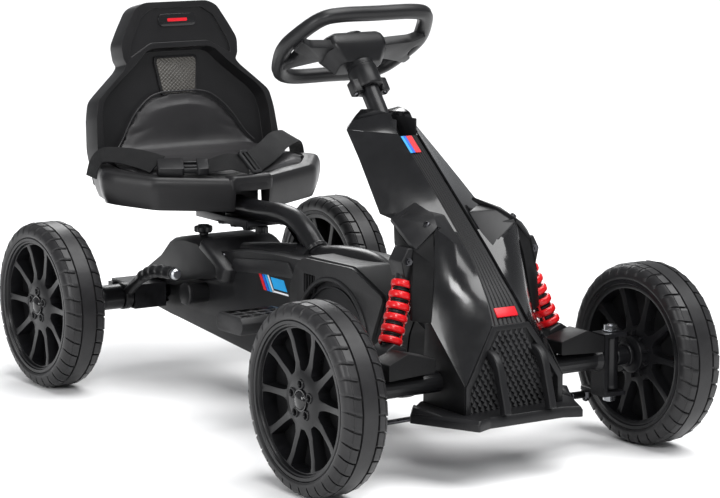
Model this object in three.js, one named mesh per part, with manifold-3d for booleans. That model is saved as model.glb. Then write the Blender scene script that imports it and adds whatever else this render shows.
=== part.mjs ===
// Pedal go kart, in millimetres.
// Origin: on the ground, midway between the axles. +X driver's left, -Y front, +Z up.
import * as THREE from 'three';
import { mergeVertices } from 'three/addons/utils/BufferGeometryUtils.js';
import { ConvexGeometry } from 'three/addons/geometries/ConvexGeometry.js';
import Module from 'manifold-3d';

const wasm = await Module();
wasm.setup();

// Driving dimensions
const WHEEL_RADIUS = 127;
const HALF_BASE = 386;
const FRONT_HALF_TRACK = 273;
const REAR_HALF_TRACK = 260;
const TYRE_WIDTH = 64.6;
const RIM_RADIUS = 98.2;
const KINGPIN_X = 210;
const COLUMN_ANGLE = THREE.MathUtils.degToRad(52);
const COLUMN_DATUM = [0, -104, 482];
const CRANK = { y: -105, z: 130, arm: 88 };
const CHAIN_X = -45;
const CASE_RIGHT = -62;
const CASE_LEFT = 45;
const TUBE_RADIUS = 17;
const SEAT_PIVOT = { y: 420, z: 340, lean: THREE.MathUtils.degToRad(11) };
const GAP = 0.4;
const AXLE_Z = WHEEL_RADIUS;

const BLACK = { color: 0x1d1d1f, roughness: 0.55, metalness: 0.0 };
const GLOSS = { color: 0x151517, roughness: 0.2, metalness: 0.0 };
const RUBBER = { color: 0x26262a, roughness: 0.85, metalness: 0.0 };
const PAINTED = { color: 0x2a2a2d, roughness: 0.4, metalness: 0.5 };
const STEEL = { color: 0xb9bcc0, roughness: 0.35, metalness: 1.0 };
const RED = { color: 0xd2252b, roughness: 0.35, metalness: 0.1 };
const CUSHION = { color: 0x232326, roughness: 0.7, metalness: 0.0 };
const WEBBING = { color: 0x1a1a1c, roughness: 0.9, metalness: 0.0 };

const kart = new THREE.Group();

// Solids: every helper gives a closed solid that can be joined to and cut from others
function solidFrom(geometry) {
  const bare = geometry.clone();
  bare.deleteAttribute('normal');
  bare.deleteAttribute('uv');
  const merged = mergeVertices(bare, 1e-3);
  const triVerts = new Uint32Array(merged.index.array);
  const vertProperties = new Float32Array(merged.attributes.position.array);
  const solid = new wasm.Manifold(new wasm.Mesh({ numProp: 3, vertProperties, triVerts }));
  if (solid.volume() > 0) return solid;
  triVerts.reverse();
  return new wasm.Manifold(new wasm.Mesh({ numProp: 3, vertProperties, triVerts }));
}

function geometryFrom(solid) {
  const mesh = solid.getMesh();
  const geometry = new THREE.BufferGeometry();
  geometry.setAttribute('position', new THREE.BufferAttribute(new Float32Array(mesh.vertProperties), 3));
  geometry.setIndex(new THREE.BufferAttribute(new Uint32Array(mesh.triVerts), 1));
  geometry.computeVertexNormals();
  return geometry;
}

function piece(name, solid, finish, parent = kart) {
  const mesh = new THREE.Mesh(geometryFrom(solid), new THREE.MeshStandardMaterial(finish));
  mesh.name = name;
  parent.add(mesh);
  return mesh;
}

function block([x0, x1], [y0, y1], [z0, z1]) {
  const box = new THREE.BoxGeometry(x1 - x0, y1 - y0, z1 - z0);
  return solidFrom(box.translate((x0 + x1) / 2, (y0 + y1) / 2, (z0 + z1) / 2));
}

// Round bar between two points
function bar(from, to, radius, sides = 16, endRadius = radius) {
  const a = new THREE.Vector3(...from);
  const b = new THREE.Vector3(...to);
  const cylinder = new THREE.CylinderGeometry(endRadius, radius, a.distanceTo(b), sides);
  const turn = new THREE.Quaternion().setFromUnitVectors(new THREE.Vector3(0, 1, 0), b.clone().sub(a).normalize());
  cylinder.applyQuaternion(turn);
  const middle = a.add(b).multiplyScalar(0.5);
  return solidFrom(cylinder.translate(middle.x, middle.y, middle.z));
}

const rodX = (x0, x1, y, z, radius, sides = 20) => bar([x0, y, z], [x1, y, z], radius, sides);
const rodZ = (x, y, z0, z1, radius, sides = 16) => bar([x, y, z0], [x, y, z1], radius, sides);

// Bent tube along a smooth curve
function bentTube(points, radius, sides = 12, steps = 24) {
  const circle = [];
  for (let i = 0; i < sides; i++) {
    const angle = (i + 0.5) * 2 * Math.PI / sides;
    circle.push(new THREE.Vector2(radius * Math.cos(angle), radius * Math.sin(angle)));
  }
  const extrudePath = new THREE.CatmullRomCurve3(points.map((p) => new THREE.Vector3(...p)));
  return solidFrom(new THREE.ExtrudeGeometry(new THREE.Shape(circle), { steps, extrudePath }));
}

// Flat outline pushed along one axis: x takes [y, z] points, y takes [x, z] and z takes [x, y]
function plate(outline, axis, from, to) {
  const shape = new THREE.Shape(outline.map(([u, v]) => new THREE.Vector2(u, v)));
  const extruded = new THREE.ExtrudeGeometry(shape, { depth: to - from, bevelEnabled: false });
  const basis = new THREE.Matrix4();
  if (axis === 'x') basis.set(0, 0, 1, from, 1, 0, 0, 0, 0, 1, 0, 0, 0, 0, 0, 1);
  if (axis === 'y') basis.set(1, 0, 0, 0, 0, 0, -1, to, 0, 1, 0, 0, 0, 0, 0, 1);
  if (axis === 'z') basis.makeTranslation(0, 0, from);
  return solidFrom(extruded.applyMatrix4(basis));
}

// Ring turned about the X axis from a closed [radius, x] profile, with one of its flats downwards
function turnedX(profile, segments) {
  const flat = Math.PI / segments;
  const points = [...profile, profile[0]].map(([radius, x]) => new THREE.Vector2(radius / Math.cos(flat), x));
  return solidFrom(new THREE.LatheGeometry(points, segments, flat).rotateZ(-Math.PI / 2));
}

const convex = (points) => solidFrom(new ConvexGeometry(points.map((p) => new THREE.Vector3(...p))));
const bothSides = (half) => [...half, ...half.map(([x, y, z]) => [-x, y, z])];
const mirroredOutline = (half) => [...half, ...half.slice().reverse().map(([u, v]) => [-u, v])];
const union = (solids) => solids.reduce((sum, solid) => sum.add(solid));

// The same points moved away from their middle, or towards it
function resized(points, distance) {
  const middle = new THREE.Vector3();
  points.forEach((p) => middle.add(new THREE.Vector3(...p)));
  middle.divideScalar(points.length);
  return points.map((p) => {
    const arm = new THREE.Vector3(...p).sub(middle);
    return middle.clone().add(arm.setLength(arm.length() + distance)).toArray();
  });
}

// Outline drawn in a little on all sides about its own middle
function insetOutline(outline, inset) {
  const spans = [0, 1].map((k) => {
    const values = outline.map((p) => p[k]);
    return [Math.min(...values), Math.max(...values)];
  });
  return outline.map((p) => p.map((value, k) => {
    const middle = (spans[k][0] + spans[k][1]) / 2;
    const half = (spans[k][1] - spans[k][0]) / 2;
    return middle + (value - middle) * (1 - inset / half);
  }));
}

// Wheels: tyre, ten-spoke rim and hub cap, with local +X outwards
function tyreSolid() {
  const half = TYRE_WIDTH / 2;
  const side = [[98.5, half - 5.3], [104.8, half - 0.8], [112, half], [120, half - 1.5], [125, half - 7], [WHEEL_RADIUS, half - 15]];
  return turnedX([...side, ...side.slice().reverse().map(([radius, x]) => [radius, -x])], 36);
}

function rimSolid(boreRadius) {
  const half = TYRE_WIDTH / 2;
  const side = [[90, half - 6], [94, half - 0.4], [104.4, half - 0.4], [RIM_RADIUS, half - 4.9]];
  let rim = turnedX([...side, ...side.slice().reverse().map(([radius, x]) => [radius, -x])], 36);
  for (let i = 0; i < 10; i++) {
    const angle = i * Math.PI / 5;
    const spoke = new THREE.BoxGeometry(9, 9, 76).translate(20, 0, 54).rotateX(angle);
    rim = rim.add(solidFrom(spoke));
  }
  rim = rim.add(rodX(-30, 24.5, 0, 0, 22)).add(rodX(-2, 2, 0, 0, 92, 36));
  return rim.subtract(rodX(-40, 40, 0, 0, boreRadius));
}

function addWheel(place, side, y, halfTrack, boreRadius) {
  const wheel = new THREE.Group();
  wheel.position.set(side * halfTrack, y, AXLE_Z);
  wheel.rotation.z = side > 0 ? 0 : Math.PI;
  piece(`tyre_${place}`, tyreSolid(), RUBBER, wheel);
  piece(`rim_${place}`, rimSolid(boreRadius), BLACK, wheel);
  const cap = rodX(25, 31, 0, 0, 14);
  piece(`hub_cap_${place}`, cap.subtract(rodX(20, 28.6, 0, 0, 9.4)), GLOSS, wheel);
  kart.add(wheel);
}

addWheel('front_right', -1, -HALF_BASE, FRONT_HALF_TRACK, 8.8);
addWheel('front_left', 1, -HALF_BASE, FRONT_HALF_TRACK, 8.8);
addWheel('rear_right', -1, HALF_BASE, REAR_HALF_TRACK, 8.4);
addWheel('rear_left', 1, HALF_BASE, REAR_HALF_TRACK, 8.8);

// Steering axis in the world, measured from the column datum
function onColumn(distance, y = 0) {
  const [x0, y0, z0] = COLUMN_DATUM;
  const c = Math.cos(COLUMN_ANGLE);
  const s = Math.sin(COLUMN_ANGLE);
  return [x0, y0 + distance * c + y * s, z0 + distance * s - y * c];
}
const BEAM_FOOT = -(COLUMN_DATUM[2] - AXLE_Z) / Math.sin(COLUMN_ANGLE);
const HEAD_TOP = -62;

// Front subframe: axle beam with a fork at each end and the head tube that the column turns in
function frontFork(side) {
  const x = (near, far) => [Math.min(side * near, side * far), Math.max(side * near, side * far)];
  const web = block(x(186, 192), [-404, -375], [76, 164]);
  const upper = block(x(186, 224), [-404, -375], [158.5, 164]);
  const lower = block(x(186, 224), [-404, -375], [76, 81.5]);
  const cone = bar([side * 178, -HALF_BASE, AXLE_Z], [side * 187, -HALF_BASE, AXLE_Z], 14, 20, 18);
  return union([web, upper, lower, cone]);
}
let subframe = union([
  rodX(-187, 187, -HALF_BASE, AXLE_Z, 14),
  frontFork(1),
  frontFork(-1),
  bar(onColumn(BEAM_FOOT - 15), onColumn(HEAD_TOP), 15.5, 20),
]);
subframe = subframe.subtract(bar(onColumn(BEAM_FOOT - 40), onColumn(0), 12.4, 20));
for (const side of [1, -1]) {
  subframe = subframe.subtract(rodZ(side * KINGPIN_X, -HALF_BASE, 60, 180, 6.6));
}
piece('front_subframe', subframe, PAINTED);

const bushOuter = bar(onColumn(HEAD_TOP - 22), onColumn(HEAD_TOP - 0.1), 11.9, 20);
const bushFlange = bar(onColumn(HEAD_TOP + GAP), onColumn(HEAD_TOP + 3.4), 15.5, 20);
const bushNeck = bar(onColumn(HEAD_TOP - 1), onColumn(HEAD_TOP + 1), 11.9, 20);
const bushBore = bar(onColumn(HEAD_TOP - 40), onColumn(HEAD_TOP + 20), 11, 20);
piece('column_bush', union([bushOuter, bushFlange, bushNeck]).subtract(bushBore), BLACK);

// Knuckles, their kingpin bolts and the tie rods
const ARM_END = { x: 206, y: -340 };
const DROP_ARM = { length: 37, foot: BEAM_FOOT - 26 };
for (const [place, side] of [['right', -1], ['left', 1]]) {
  const x = side * KINGPIN_X;
  const bolt = union([
    rodZ(x, -HALF_BASE, 66, 166, 6, 12),
    rodZ(x, -HALF_BASE, 164.5, 170, 10, 6),
    rodZ(x, -HALF_BASE, 66, 75.5, 10, 6),
  ]);
  piece(`kingpin_${place}`, bolt, STEEL);

  const spindle = bar([side * 216, -HALF_BASE, AXLE_Z], [side * 297, -HALF_BASE, AXLE_Z], 8, 16);
  const shoulder = bar([side * 216, -HALF_BASE, AXLE_Z], [side * 240, -HALF_BASE, AXLE_Z], 12, 16);
  const arm = union([
    block([x - 7, x + 7], [-380, -359], [82.5, 88.5]),
    block([x - 7, x + 7], [-365, -359], [73, 88.5]),
  ]);
  const tip = union([
    block([side * ARM_END.x - 7, side * ARM_END.x + 7], [-365, -340], [73, 79]),
    rodZ(side * ARM_END.x, ARM_END.y, 73, 79, 7),
  ]);
  const knuckle = union([rodZ(x, -HALF_BASE, 82, 158, 11), spindle, shoulder, arm, tip]);
  piece(`knuckle_${place}`, knuckle.subtract(rodZ(x, -HALF_BASE, 60, 180, 6.6)), PAINTED);

  const outer = [side * ARM_END.x, ARM_END.y, 66.5];
  const inner = onColumn(DROP_ARM.foot - 6, DROP_ARM.length);
  inner[0] = side * 13;
  const rod = union([
    bar(outer, inner, 3.6, 10),
    rodZ(outer[0], outer[1], 62, 71.5, 7.5),
    bar([inner[0], inner[1] - 2.6, inner[2] - 3.3], [inner[0], inner[1] + 2.6, inner[2] + 3.3], 7, 12),
  ]);
  piece(`tie_rod_${place}`, rod, STEEL);
}

// Steering: column with its drop arm, wheel rim, hub pad and collar, with local +Z up the column
const steering = new THREE.Group();
steering.position.set(...COLUMN_DATUM);
steering.rotation.x = COLUMN_ANGLE - Math.PI / 2;
kart.add(steering);

const dropArm = union([
  plate([[-9, -9], [9, -9], [20, 28], [20, 45], [-20, 45], [-20, 28]], 'z', DROP_ARM.foot, DROP_ARM.foot + 5),
  rodZ(0, 0, DROP_ARM.foot, DROP_ARM.foot + 7, 15),
]);
const column = rodZ(0, 0, DROP_ARM.foot, 34, 10.4, 20).add(dropArm);
piece('steering_column', column, STEEL, steering);

const WHEEL_HEIGHT = 80;
function rimHalf(side) {
  const outline = [[0, -79], [62, -79], [88, -70], [107, -30], [112, 0], [102, 36], [88, 64], [62, 76], [0, 76]];
  const points = outline.map(([x, y]) => [side * x, y, WHEEL_HEIGHT]);
  points[0] = [-side * 1.5, -79, WHEEL_HEIGHT];
  points[points.length - 1] = [-side * 1.5, 76, WHEEL_HEIGHT];
  return bentTube(points, 11.5, 8, 20);
}
const spokeArm = (side) => convex([
  [side * 30, -12, WHEEL_HEIGHT - 12], [side * 30, 16, WHEEL_HEIGHT - 12],
  [side * 30, -12, WHEEL_HEIGHT - 4], [side * 30, 16, WHEEL_HEIGHT - 4],
  [side * 108, -14, WHEEL_HEIGHT - 6], [side * 108, 22, WHEEL_HEIGHT - 6],
  [side * 108, -14, WHEEL_HEIGHT + 2], [side * 108, 22, WHEEL_HEIGHT + 2],
]);
const hubPlate = block([-31, 31], [-14, 18], [WHEEL_HEIGHT - 12, WHEEL_HEIGHT - 4]);
const wheelRim = union([rimHalf(1), rimHalf(-1), spokeArm(1), spokeArm(-1), hubPlate]);
piece('steering_wheel_rim', wheelRim.subtract(rodZ(0, 0, 40, 76.5, 13)), RUBBER, steering);

const padFace = [[-39, -21], [39, -21], [48, -8], [44, 26], [-44, 26], [-48, -8]];
const padUnder = convex([
  ...padFace.map(([x, y]) => [x * 1.08, y, WHEEL_HEIGHT - 13]),
  ...padFace.map(([x, y]) => [x * 0.7, y * 0.8, WHEEL_HEIGHT - 36]),
]);
const padTop = plate(padFace, 'z', WHEEL_HEIGHT - 1.6, WHEEL_HEIGHT + 8);
const padSide = plate([[-52, -21], [52, -21], [52, -15], [-52, -15]], 'z', WHEEL_HEIGHT - 20, WHEEL_HEIGHT + 4);
const pad = union([padUnder, padTop, padSide]);
piece('steering_wheel_pad', pad.subtract(rodZ(0, 0, 0, 62, 17.6, 20)), BLACK, steering);

const clampLugs = block([-24, 24], [-6, 6], [10, 26]);
const collar = rodZ(0, 0, 10, 61.5, 17, 20).add(clampLugs);
piece('steering_wheel_collar', collar.subtract(rodZ(0, 0, 0, 34.5, 10.9, 20)), PAINTED, steering);

// Main tube, crank bracket and seat support
const mainPath = [
  [0, -352, 140], [0, -250, 184], [0, -174, 217], [0, -117, 236], [0, -60, 238],
  [0, 20, 228], [0, 150, 200], [0, 300, 165], [0, 358, 152],
];
const crankShell = rodX(-32, 32, CRANK.y, CRANK.z, 20);
const crankPlate = block([-9, 9], [CRANK.y - 20, CRANK.y + 20], [CRANK.z, 226]);
let mainTube = union([bentTube(mainPath, TUBE_RADIUS, 12, 22), crankPlate, crankShell]);
mainTube = mainTube.subtract(rodX(-40, 40, CRANK.y, CRANK.z, 10.2));
mainTube = mainTube.subtract(bar(onColumn(BEAM_FOOT - 30), onColumn(-200), 15.5 + GAP, 20));
mainTube = mainTube.subtract(rodX(-60, 60, -HALF_BASE, AXLE_Z, 14 + GAP));
piece('main_frame_tube', mainTube, PAINTED);

const seatPath = [
  [0, 396, 275], [0, 300, 275], [0, 190, 276], [0, 137, 278.5], [0, 98, 275], [0, 66, 262], [0, 42, 244], [0, 24, 226],
];
let seatTube = bentTube(seatPath, 15.5, 12, 18);
seatTube = seatTube.add(convex([
  ...[-3, 3].flatMap((x) => [[x, 116, 264], [x, 100, 264], [x, 80, 240], [x, 62, 226], [x, 50, 240]]),
]));
seatTube = seatTube.subtract(bentTube(mainPath, TUBE_RADIUS + 0.6, 12, 22));
piece('seat_support_tube', seatTube, PAINTED);

// Rear carrier and axle housings round the rear axle
const axleBore = rodX(-300, 300, HALF_BASE, AXLE_Z, 9.2);
const carrier = union([
  block([-34, 38], [366, 442], [108, 146]),
  block([-130, -33], [428, 442], [112, 142]),
  block([-123.6, -68], [366, 442], [108, 146]),
]);
piece('rear_carrier', carrier.subtract(axleBore), PAINTED);
const housingRight = rodX(-223, -140, HALF_BASE, AXLE_Z, 19.5).add(rodX(-150, -124, HALF_BASE, AXLE_Z, 12));
piece('rear_axle_housing_right', housingRight.subtract(axleBore), PAINTED);
piece('rear_axle_housing_left', rodX(38.4, 223, HALF_BASE, AXLE_Z, 19.5).subtract(axleBore), PAINTED);

piece('rear_axle', rodX(-286, 286, HALF_BASE, AXLE_Z, 8, 16), STEEL);
const sprocketBore = rodX(-100, 100, HALF_BASE, AXLE_Z, 8.4);
const sprocket = rodX(CHAIN_X - 1.5, CHAIN_X + 1.5, HALF_BASE, AXLE_Z, 20.6).add(rodX(CHAIN_X - 8, CHAIN_X + 8, HALF_BASE, AXLE_Z, 14));
piece('rear_sprocket', sprocket.subtract(sprocketBore), STEEL);

// Crank with its two arms, chainring and chain
const crankAngle = Math.atan2(24, 85);
const pedalOffset = [CRANK.arm * Math.cos(crankAngle), CRANK.arm * Math.sin(crankAngle)];
function crankArm(side) {
  const x = [Math.min(side * 74, side * 84), Math.max(side * 74, side * 84)];
  const y = CRANK.y - side * pedalOffset[0];
  const z = CRANK.z - side * pedalOffset[1];
  const web = convex([x[0], x[1]].flatMap((px) => [
    [px, CRANK.y, CRANK.z + 13], [px, CRANK.y, CRANK.z - 13], [px, y, z + 9], [px, y, z - 9],
  ]));
  const hub = rodX(x[0], x[1], CRANK.y, CRANK.z, 15);
  const spindle = rodX(Math.min(side * 80, side * 172), Math.max(side * 80, side * 172), y, z, 5.5, 12);
  return union([web, hub, rodX(x[0], x[1], y, z, 10), spindle]);
}
const crank = union([rodX(-84, 84, CRANK.y, CRANK.z, 9.2, 16), crankArm(-1), crankArm(1)]);
piece('crank', crank, PAINTED);
const chainring = rodX(CHAIN_X - 1.5, CHAIN_X + 1.5, CRANK.y, CRANK.z, 51.6, 24);
piece('chainring', chainring.subtract(rodX(-60, 0, CRANK.y, CRANK.z, 9.8, 16)), STEEL);

function chainLoop(frontRadius, rearRadius, halfWidth) {
  const points = [];
  for (let i = 0; i < 20; i++) {
    const angle = i * Math.PI / 10;
    for (const x of [CHAIN_X - halfWidth, CHAIN_X + halfWidth]) {
      points.push([x, CRANK.y + frontRadius * Math.cos(angle), CRANK.z + frontRadius * Math.sin(angle)]);
      points.push([x, HALF_BASE + rearRadius * Math.cos(angle), AXLE_Z + rearRadius * Math.sin(angle)]);
    }
  }
  return convex(points);
}
piece('chain', chainLoop(60, 27.4, 3.5).subtract(chainLoop(53, 21.2, 5)), STEEL);

for (const [place, side] of [['right', -1], ['left', 1]]) {
  const y = CRANK.y - side * pedalOffset[0];
  const z = CRANK.z - side * pedalOffset[1];
  const outline = [[y - 34, z - 10], [y - 38, z], [y - 30, z + 14], [y + 34, z + 12], [y + 38, z + 2], [y + 32, z - 12]];
  const body = plate(outline, 'x', Math.min(side * 92, side * 184), Math.max(side * 92, side * 184));
  piece(`pedal_${place}`, body.subtract(rodX(Math.min(side * 60, side * 176), Math.max(side * 60, side * 176), y, z, 6.2)), BLACK);
}

// Chain case in two halves, open to each other round the main tube
const caseOutline = [
  [-236, 216], [-204, 150], [-194, 104], [-160, 55], [-105, 35], [-45, 46], [40, 68], [127, 77],
  [368, 93], [412, 98], [427, 112], [427, 150], [300, 214], [180, 231], [60, 243], [-20, 245], [-155, 246],
];
function caseHalf(outside, inside) {
  const sign = Math.sign(outside);
  const wall = 3.5;
  const [x0, x1] = [Math.min(outside, inside), Math.max(outside, inside)];
  const cavityFrom = sign < 0 ? outside + wall : inside - 2;
  const cavityTo = sign < 0 ? inside + 2 : outside - wall;
  let shell = plate(caseOutline, 'x', x0, x1).subtract(plate(insetOutline(caseOutline, 5), 'x', cavityFrom, cavityTo));
  const ringFrom = Math.min(outside, outside + sign * 4);
  const ring = rodX(ringFrom - 0.5, ringFrom + 4.5, CRANK.y, CRANK.z, 92, 32);
  shell = shell.add(ring.subtract(rodX(-90, 90, CRANK.y, CRANK.z, 85, 32)));
  shell = shell.subtract(rodX(-90, 90, CRANK.y, CRANK.z, 17));
  shell = shell.subtract(block([-36, 40], [360, 450], [104, 150]));
  shell = shell.subtract(rodX(-90, 90, HALF_BASE, AXLE_Z, sign < 0 ? 17 : 20.4));
  shell = shell.subtract(bentTube(mainPath, TUBE_RADIUS + 0.8, 12, 22));
  shell = shell.subtract(block([-3.6, 3.6], [44, 190], [220, 262]));
  return shell.subtract(bentTube(seatPath, 16.4, 12, 18));
}
piece('chain_case_right', caseHalf(CASE_RIGHT, -1.2), BLACK);
piece('chain_case_left', caseHalf(CASE_LEFT, 1.2), BLACK);

// Cover over the rear of the chain case, open underneath
const coverOutline = [
  [461, 146], [383, 190], [350, 219], [297, 229], [250, 228], [178, 194], [187, 176], [320, 150], [432, 122],
];
const coverInner = coverOutline.map(([y, z]) => [y - (y - 320) * 0.03, z < 180 ? z - 12 : z - 4]);
let rearCover = plate(coverOutline, 'x', -72, 56).subtract(plate(coverInner, 'x', -68.5, 52.5));
rearCover = rearCover.subtract(plate(caseOutline, 'x', CASE_RIGHT - 0.8, CASE_LEFT + 0.8));
rearCover = rearCover.subtract(block([-132, 42], [360, 446], [100, 150]));
rearCover = rearCover.subtract(rodX(30, 90, HALF_BASE, AXLE_Z, 20.4));
piece('rear_cover', rearCover, BLACK);

const knobStem = [-46, 285, 229.6];
const starKnob = union([
  ...[0, 1, 2, 3, 4].map((i) => {
    const angle = i * 2 * Math.PI / 5;
    return rodZ(knobStem[0] + 9 * Math.cos(angle), knobStem[1] + 9 * Math.sin(angle), 234, 244, 6, 8);
  }),
  rodZ(knobStem[0], knobStem[1], 234, 246, 10),
  rodZ(knobStem[0], knobStem[1], knobStem[2], 237, 8),
]);
piece('star_knob', starKnob, BLACK);

// Brake lever turning on the neck of the right axle housing
const leverRing = rodX(-138.6, -125.4, HALF_BASE, AXLE_Z, 21);
const leverArm = plate([
  [396, 144], [376, 112], [338, 140], [300, 166], [216, 168], [212, 178], [218, 188], [262, 192], [318, 182], [352, 166],
], 'x', -138.6, -125.4);
piece('brake_lever', leverRing.add(leverArm).subtract(rodX(-150, -110, HALF_BASE, AXLE_Z, 12.6)), BLACK);

// Fairing: two shells round the head tube, joined by a ribbed strip down the middle
const crestLine = [
  [-178, 459], [-198, 432], [-236, 401], [-272, 371], [-307, 341], [-337, 315], [-367, 288], [-395, 258], [-417, 233], [-436, 206],
];
const shellHalf = [
  [1, -104, 446], [22, -104, 446], [31, -127, 461], [16, -178, 460], [1, -178, 460], [54, -133, 441], [58, -131, 434],
  [78, -246, 330], [90, -296, 322], [88, -350, 292], [88, -380, 210], [85, -372, 206], [80, -446, 129],
  [30, -436, 206], [1, -436, 206], [1, -300, 206], [60, -300, 206], [26, -186, 318], [1, -186, 318],
  ...crestLine.slice(1, -1).flatMap(([y, z]) => [[17, y, z], [1, y, z]]),
];
const fairingSide = (side) => shellHalf.map(([x, y, z]) => [side * x, y, z]);
const stripCut = [...crestLine.map(([y, z]) => [y - 14, z + 14]), ...crestLine.slice().reverse().map(([y, z]) => [y + 8, z - 8])];
const headPassage = bar(onColumn(BEAM_FOOT), onColumn(60), 17.5, 16);
const columnSlot = plate([[-120, 440], [-96, 470], [-150, 500], [-196, 470], [-185, 425]], 'x', -14, 14);
for (const [place, side] of [['right', -1], ['left', 1]]) {
  let shell = convex(fairingSide(side)).subtract(convex(resized(fairingSide(side), -6)));
  shell = shell.subtract(plate(stripCut, 'x', -15.4, 15.4)).subtract(headPassage).subtract(columnSlot);
  shell = shell.subtract(block([-55, 55], [-330, -250], [190, 225]));
  piece(`fairing_${place}`, shell, GLOSS);
}
const stripLine = crestLine.slice(1);
const strip = plate([
  ...stripLine.map(([y, z]) => [y + 3.5, z - 3.5]),
  ...stripLine.slice().reverse().map(([y, z]) => [y + 6.5, z - 6.5]),
], 'x', -15, 15);
piece('fairing_strip', strip, BLACK);

// Ear plates either side of the fairing
for (const [place, side] of [['right', -1], ['left', 1]]) {
  const face = [[50, -286, 352], [92, -290, 331], [97, -328, 316], [95, -352, 299], [66, -356, 331]];
  const ear = convex(face.flatMap(([x, y, z]) => [[side * x, y, z], [side * x, y - 2, z + 5]]));
  piece(`ear_plate_${place}`, ear.subtract(convex(resized(fairingSide(side), 1.2))), BLACK);
}

// Nose: cowl with its grille and fins, and the splitter below it
const cowlHalf = [[30, -432, 202], [76, -442, 128], [77, -443, 93], [72, -352, 93], [75, -352, 188]];
const cowlInner = [[26, -426, 197], [72, -436, 126], [73, -437, 85], [68, -340, 85], [70, -340, 184]];
let cowl = convex(bothSides(cowlHalf)).subtract(convex(bothSides(cowlInner)));
for (const side of [-1, 1]) {
  const fin = plate([[-428, 160], [-446, 158], [-466, 130], [-474, 93], [-428, 93]], 'x', side * 37 - 5, side * 37 + 5);
  cowl = cowl.add(fin);
}
for (const side of [-1, 1]) cowl = cowl.subtract(convex(resized(fairingSide(side), 1.2)));
cowl = cowl.subtract(convex(bothSides(cowlInner))).subtract(headPassage).subtract(plate(stripCut, 'x', -15.6, 15.6));
piece('nose_cowl', cowl.subtract(rodX(-120, 120, -HALF_BASE, AXLE_Z, 14.6)), BLACK);

const splitterHalf = [[0, -476], [62, -476], [85, -485], [108, -440], [126, -392], [118, -376], [84, -346], [0, -346]];
let splitter = plate(mirroredOutline(splitterHalf), 'z', 77, 92.6);
splitter = splitter.subtract(plate(mirroredOutline([[0, -425], [50, -425], [50, -330], [0, -330]]), 'z', 70, 100));
splitter = splitter.subtract(block([-116, 116], [-405, -330], [70, 89.4]));
piece('nose_splitter', splitter, BLACK);

// Axle covers and the shock absorbers that stand on them
for (const [place, side] of [['right', -1], ['left', 1]]) {
  const profile = [[103, 145], [177, 142], [177, 162], [148, 175], [104, 163]];
  const cover = plate(profile.map(([x, z]) => [side * x, z]), 'y', -412, -373);
  piece(`axle_cover_${place}`, cover, BLACK);

  const foot = [side * 137, -350, 168];
  const head = [side * 103, -350, 270];
  const along = (t, swell = 0) => foot.map((v, k) => v + (head[k] - v) * t + (k === 1 ? swell : 0));
  const shoe = convex([
    ...[-366, -334].flatMap((y) => [
      [side * 120, y, 150], [side * 152, y, 146], [side * 157, y, 162], [side * 140, y, 178], [side * 120, y, 172],
    ]),
  ]);
  const cap = convex([
    ...[-362, -330].flatMap((y) => [
      [side * 99, y, 262], [side * 120, y, 272], [side * 122, y, 288], [side * 112, y, 302], [side * 99, y, 300],
    ]),
  ]);
  const arm = block([Math.min(side * 118, side * 130), Math.max(side * 118, side * 130)], [-372, -350], [118, 152]);
  const body = union([shoe, cap, bar(along(0), along(1), 10, 10), arm]);
  piece(`shock_body_${place}`, body.subtract(rodX(-200, 200, -HALF_BASE, AXLE_Z, 14 + GAP)), BLACK);

  const coils = [];
  for (let i = 0; i < 6; i++) {
    const t = 0.13 + i * 0.145;
    coils.push(bar(along(t), along(t + 0.07), 15.7, 12));
  }
  const rails = [-1, 1].map((k) => bar(along(0.13, k * 13.4), along(0.925, k * 13.4), 1.8, 4));
  const spring = union([...coils, ...rails]).subtract(bar(along(0), along(1), 10.6, 10));
  piece(`shock_spring_${place}`, spring, RED);
}

// Seat: shell with base and reclined back, cushion, clamp with hand knobs, and lap belt
const baseHalf = [[0, 440], [118, 438], [162, 418], [186, 372], [188, 330], [180, 304], [160, 288], [32, 213], [0, 213]];
const backHalf = [
  [0, 240], [57, 239], [72, 232], [90, 200], [100, 176], [98, 154], [94, 144], [100, 135], [136, 103], [149, 93],
  [156, 63], [160, 15], [150, -30], [0, -30],
];
function reclined(outline, near, far) {
  const flat = plate(outline.map(([x, h]) => [x, h]), 'y', near, far);
  const upright = geometryFrom(flat).rotateX(-SEAT_PIVOT.lean).translate(0, SEAT_PIVOT.y, SEAT_PIVOT.z);
  return solidFrom(upright);
}
const baseOutline = mirroredOutline(baseHalf);
const backOutline = mirroredOutline(backHalf);
const backInner = mirroredOutline(backHalf.map(([x, h]) => [Math.max(0, x - 9), h > 200 ? h - 9 : h]));
let seatShell = plate(baseOutline, 'z', 284, 333).add(reclined(backOutline, -19, 19));
seatShell = seatShell.subtract(reclined(backInner, -40, 12));
seatShell = seatShell.subtract(plate(insetOutline(baseOutline, 12), 'z', 318, 360));
seatShell = seatShell.subtract(plate(insetOutline(baseOutline, 8), 'z', 270, 314));
seatShell = seatShell.subtract(block([-29, 29], [200, 260], [270, 316]));
piece('seat_shell', seatShell, BLACK);

const seatInner = [[0, 426], [110, 424], [148, 404], [166, 366], [168, 332], [156, 308], [24, 232], [0, 232]];
const padBack = [[0, 92], [60, 88], [100, 40], [124, 10], [124, -16], [0, -16]];
let cushion = plate(mirroredOutline(seatInner), 'z', 318.5, 334);
cushion = cushion.subtract(reclined(backOutline, 11.6, 60)).add(reclined(mirroredOutline(padBack), -4, 11.5));
piece('seat_cushion', cushion.subtract(plate(baseOutline, 'z', 280, 318.4)), CUSHION);

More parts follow.
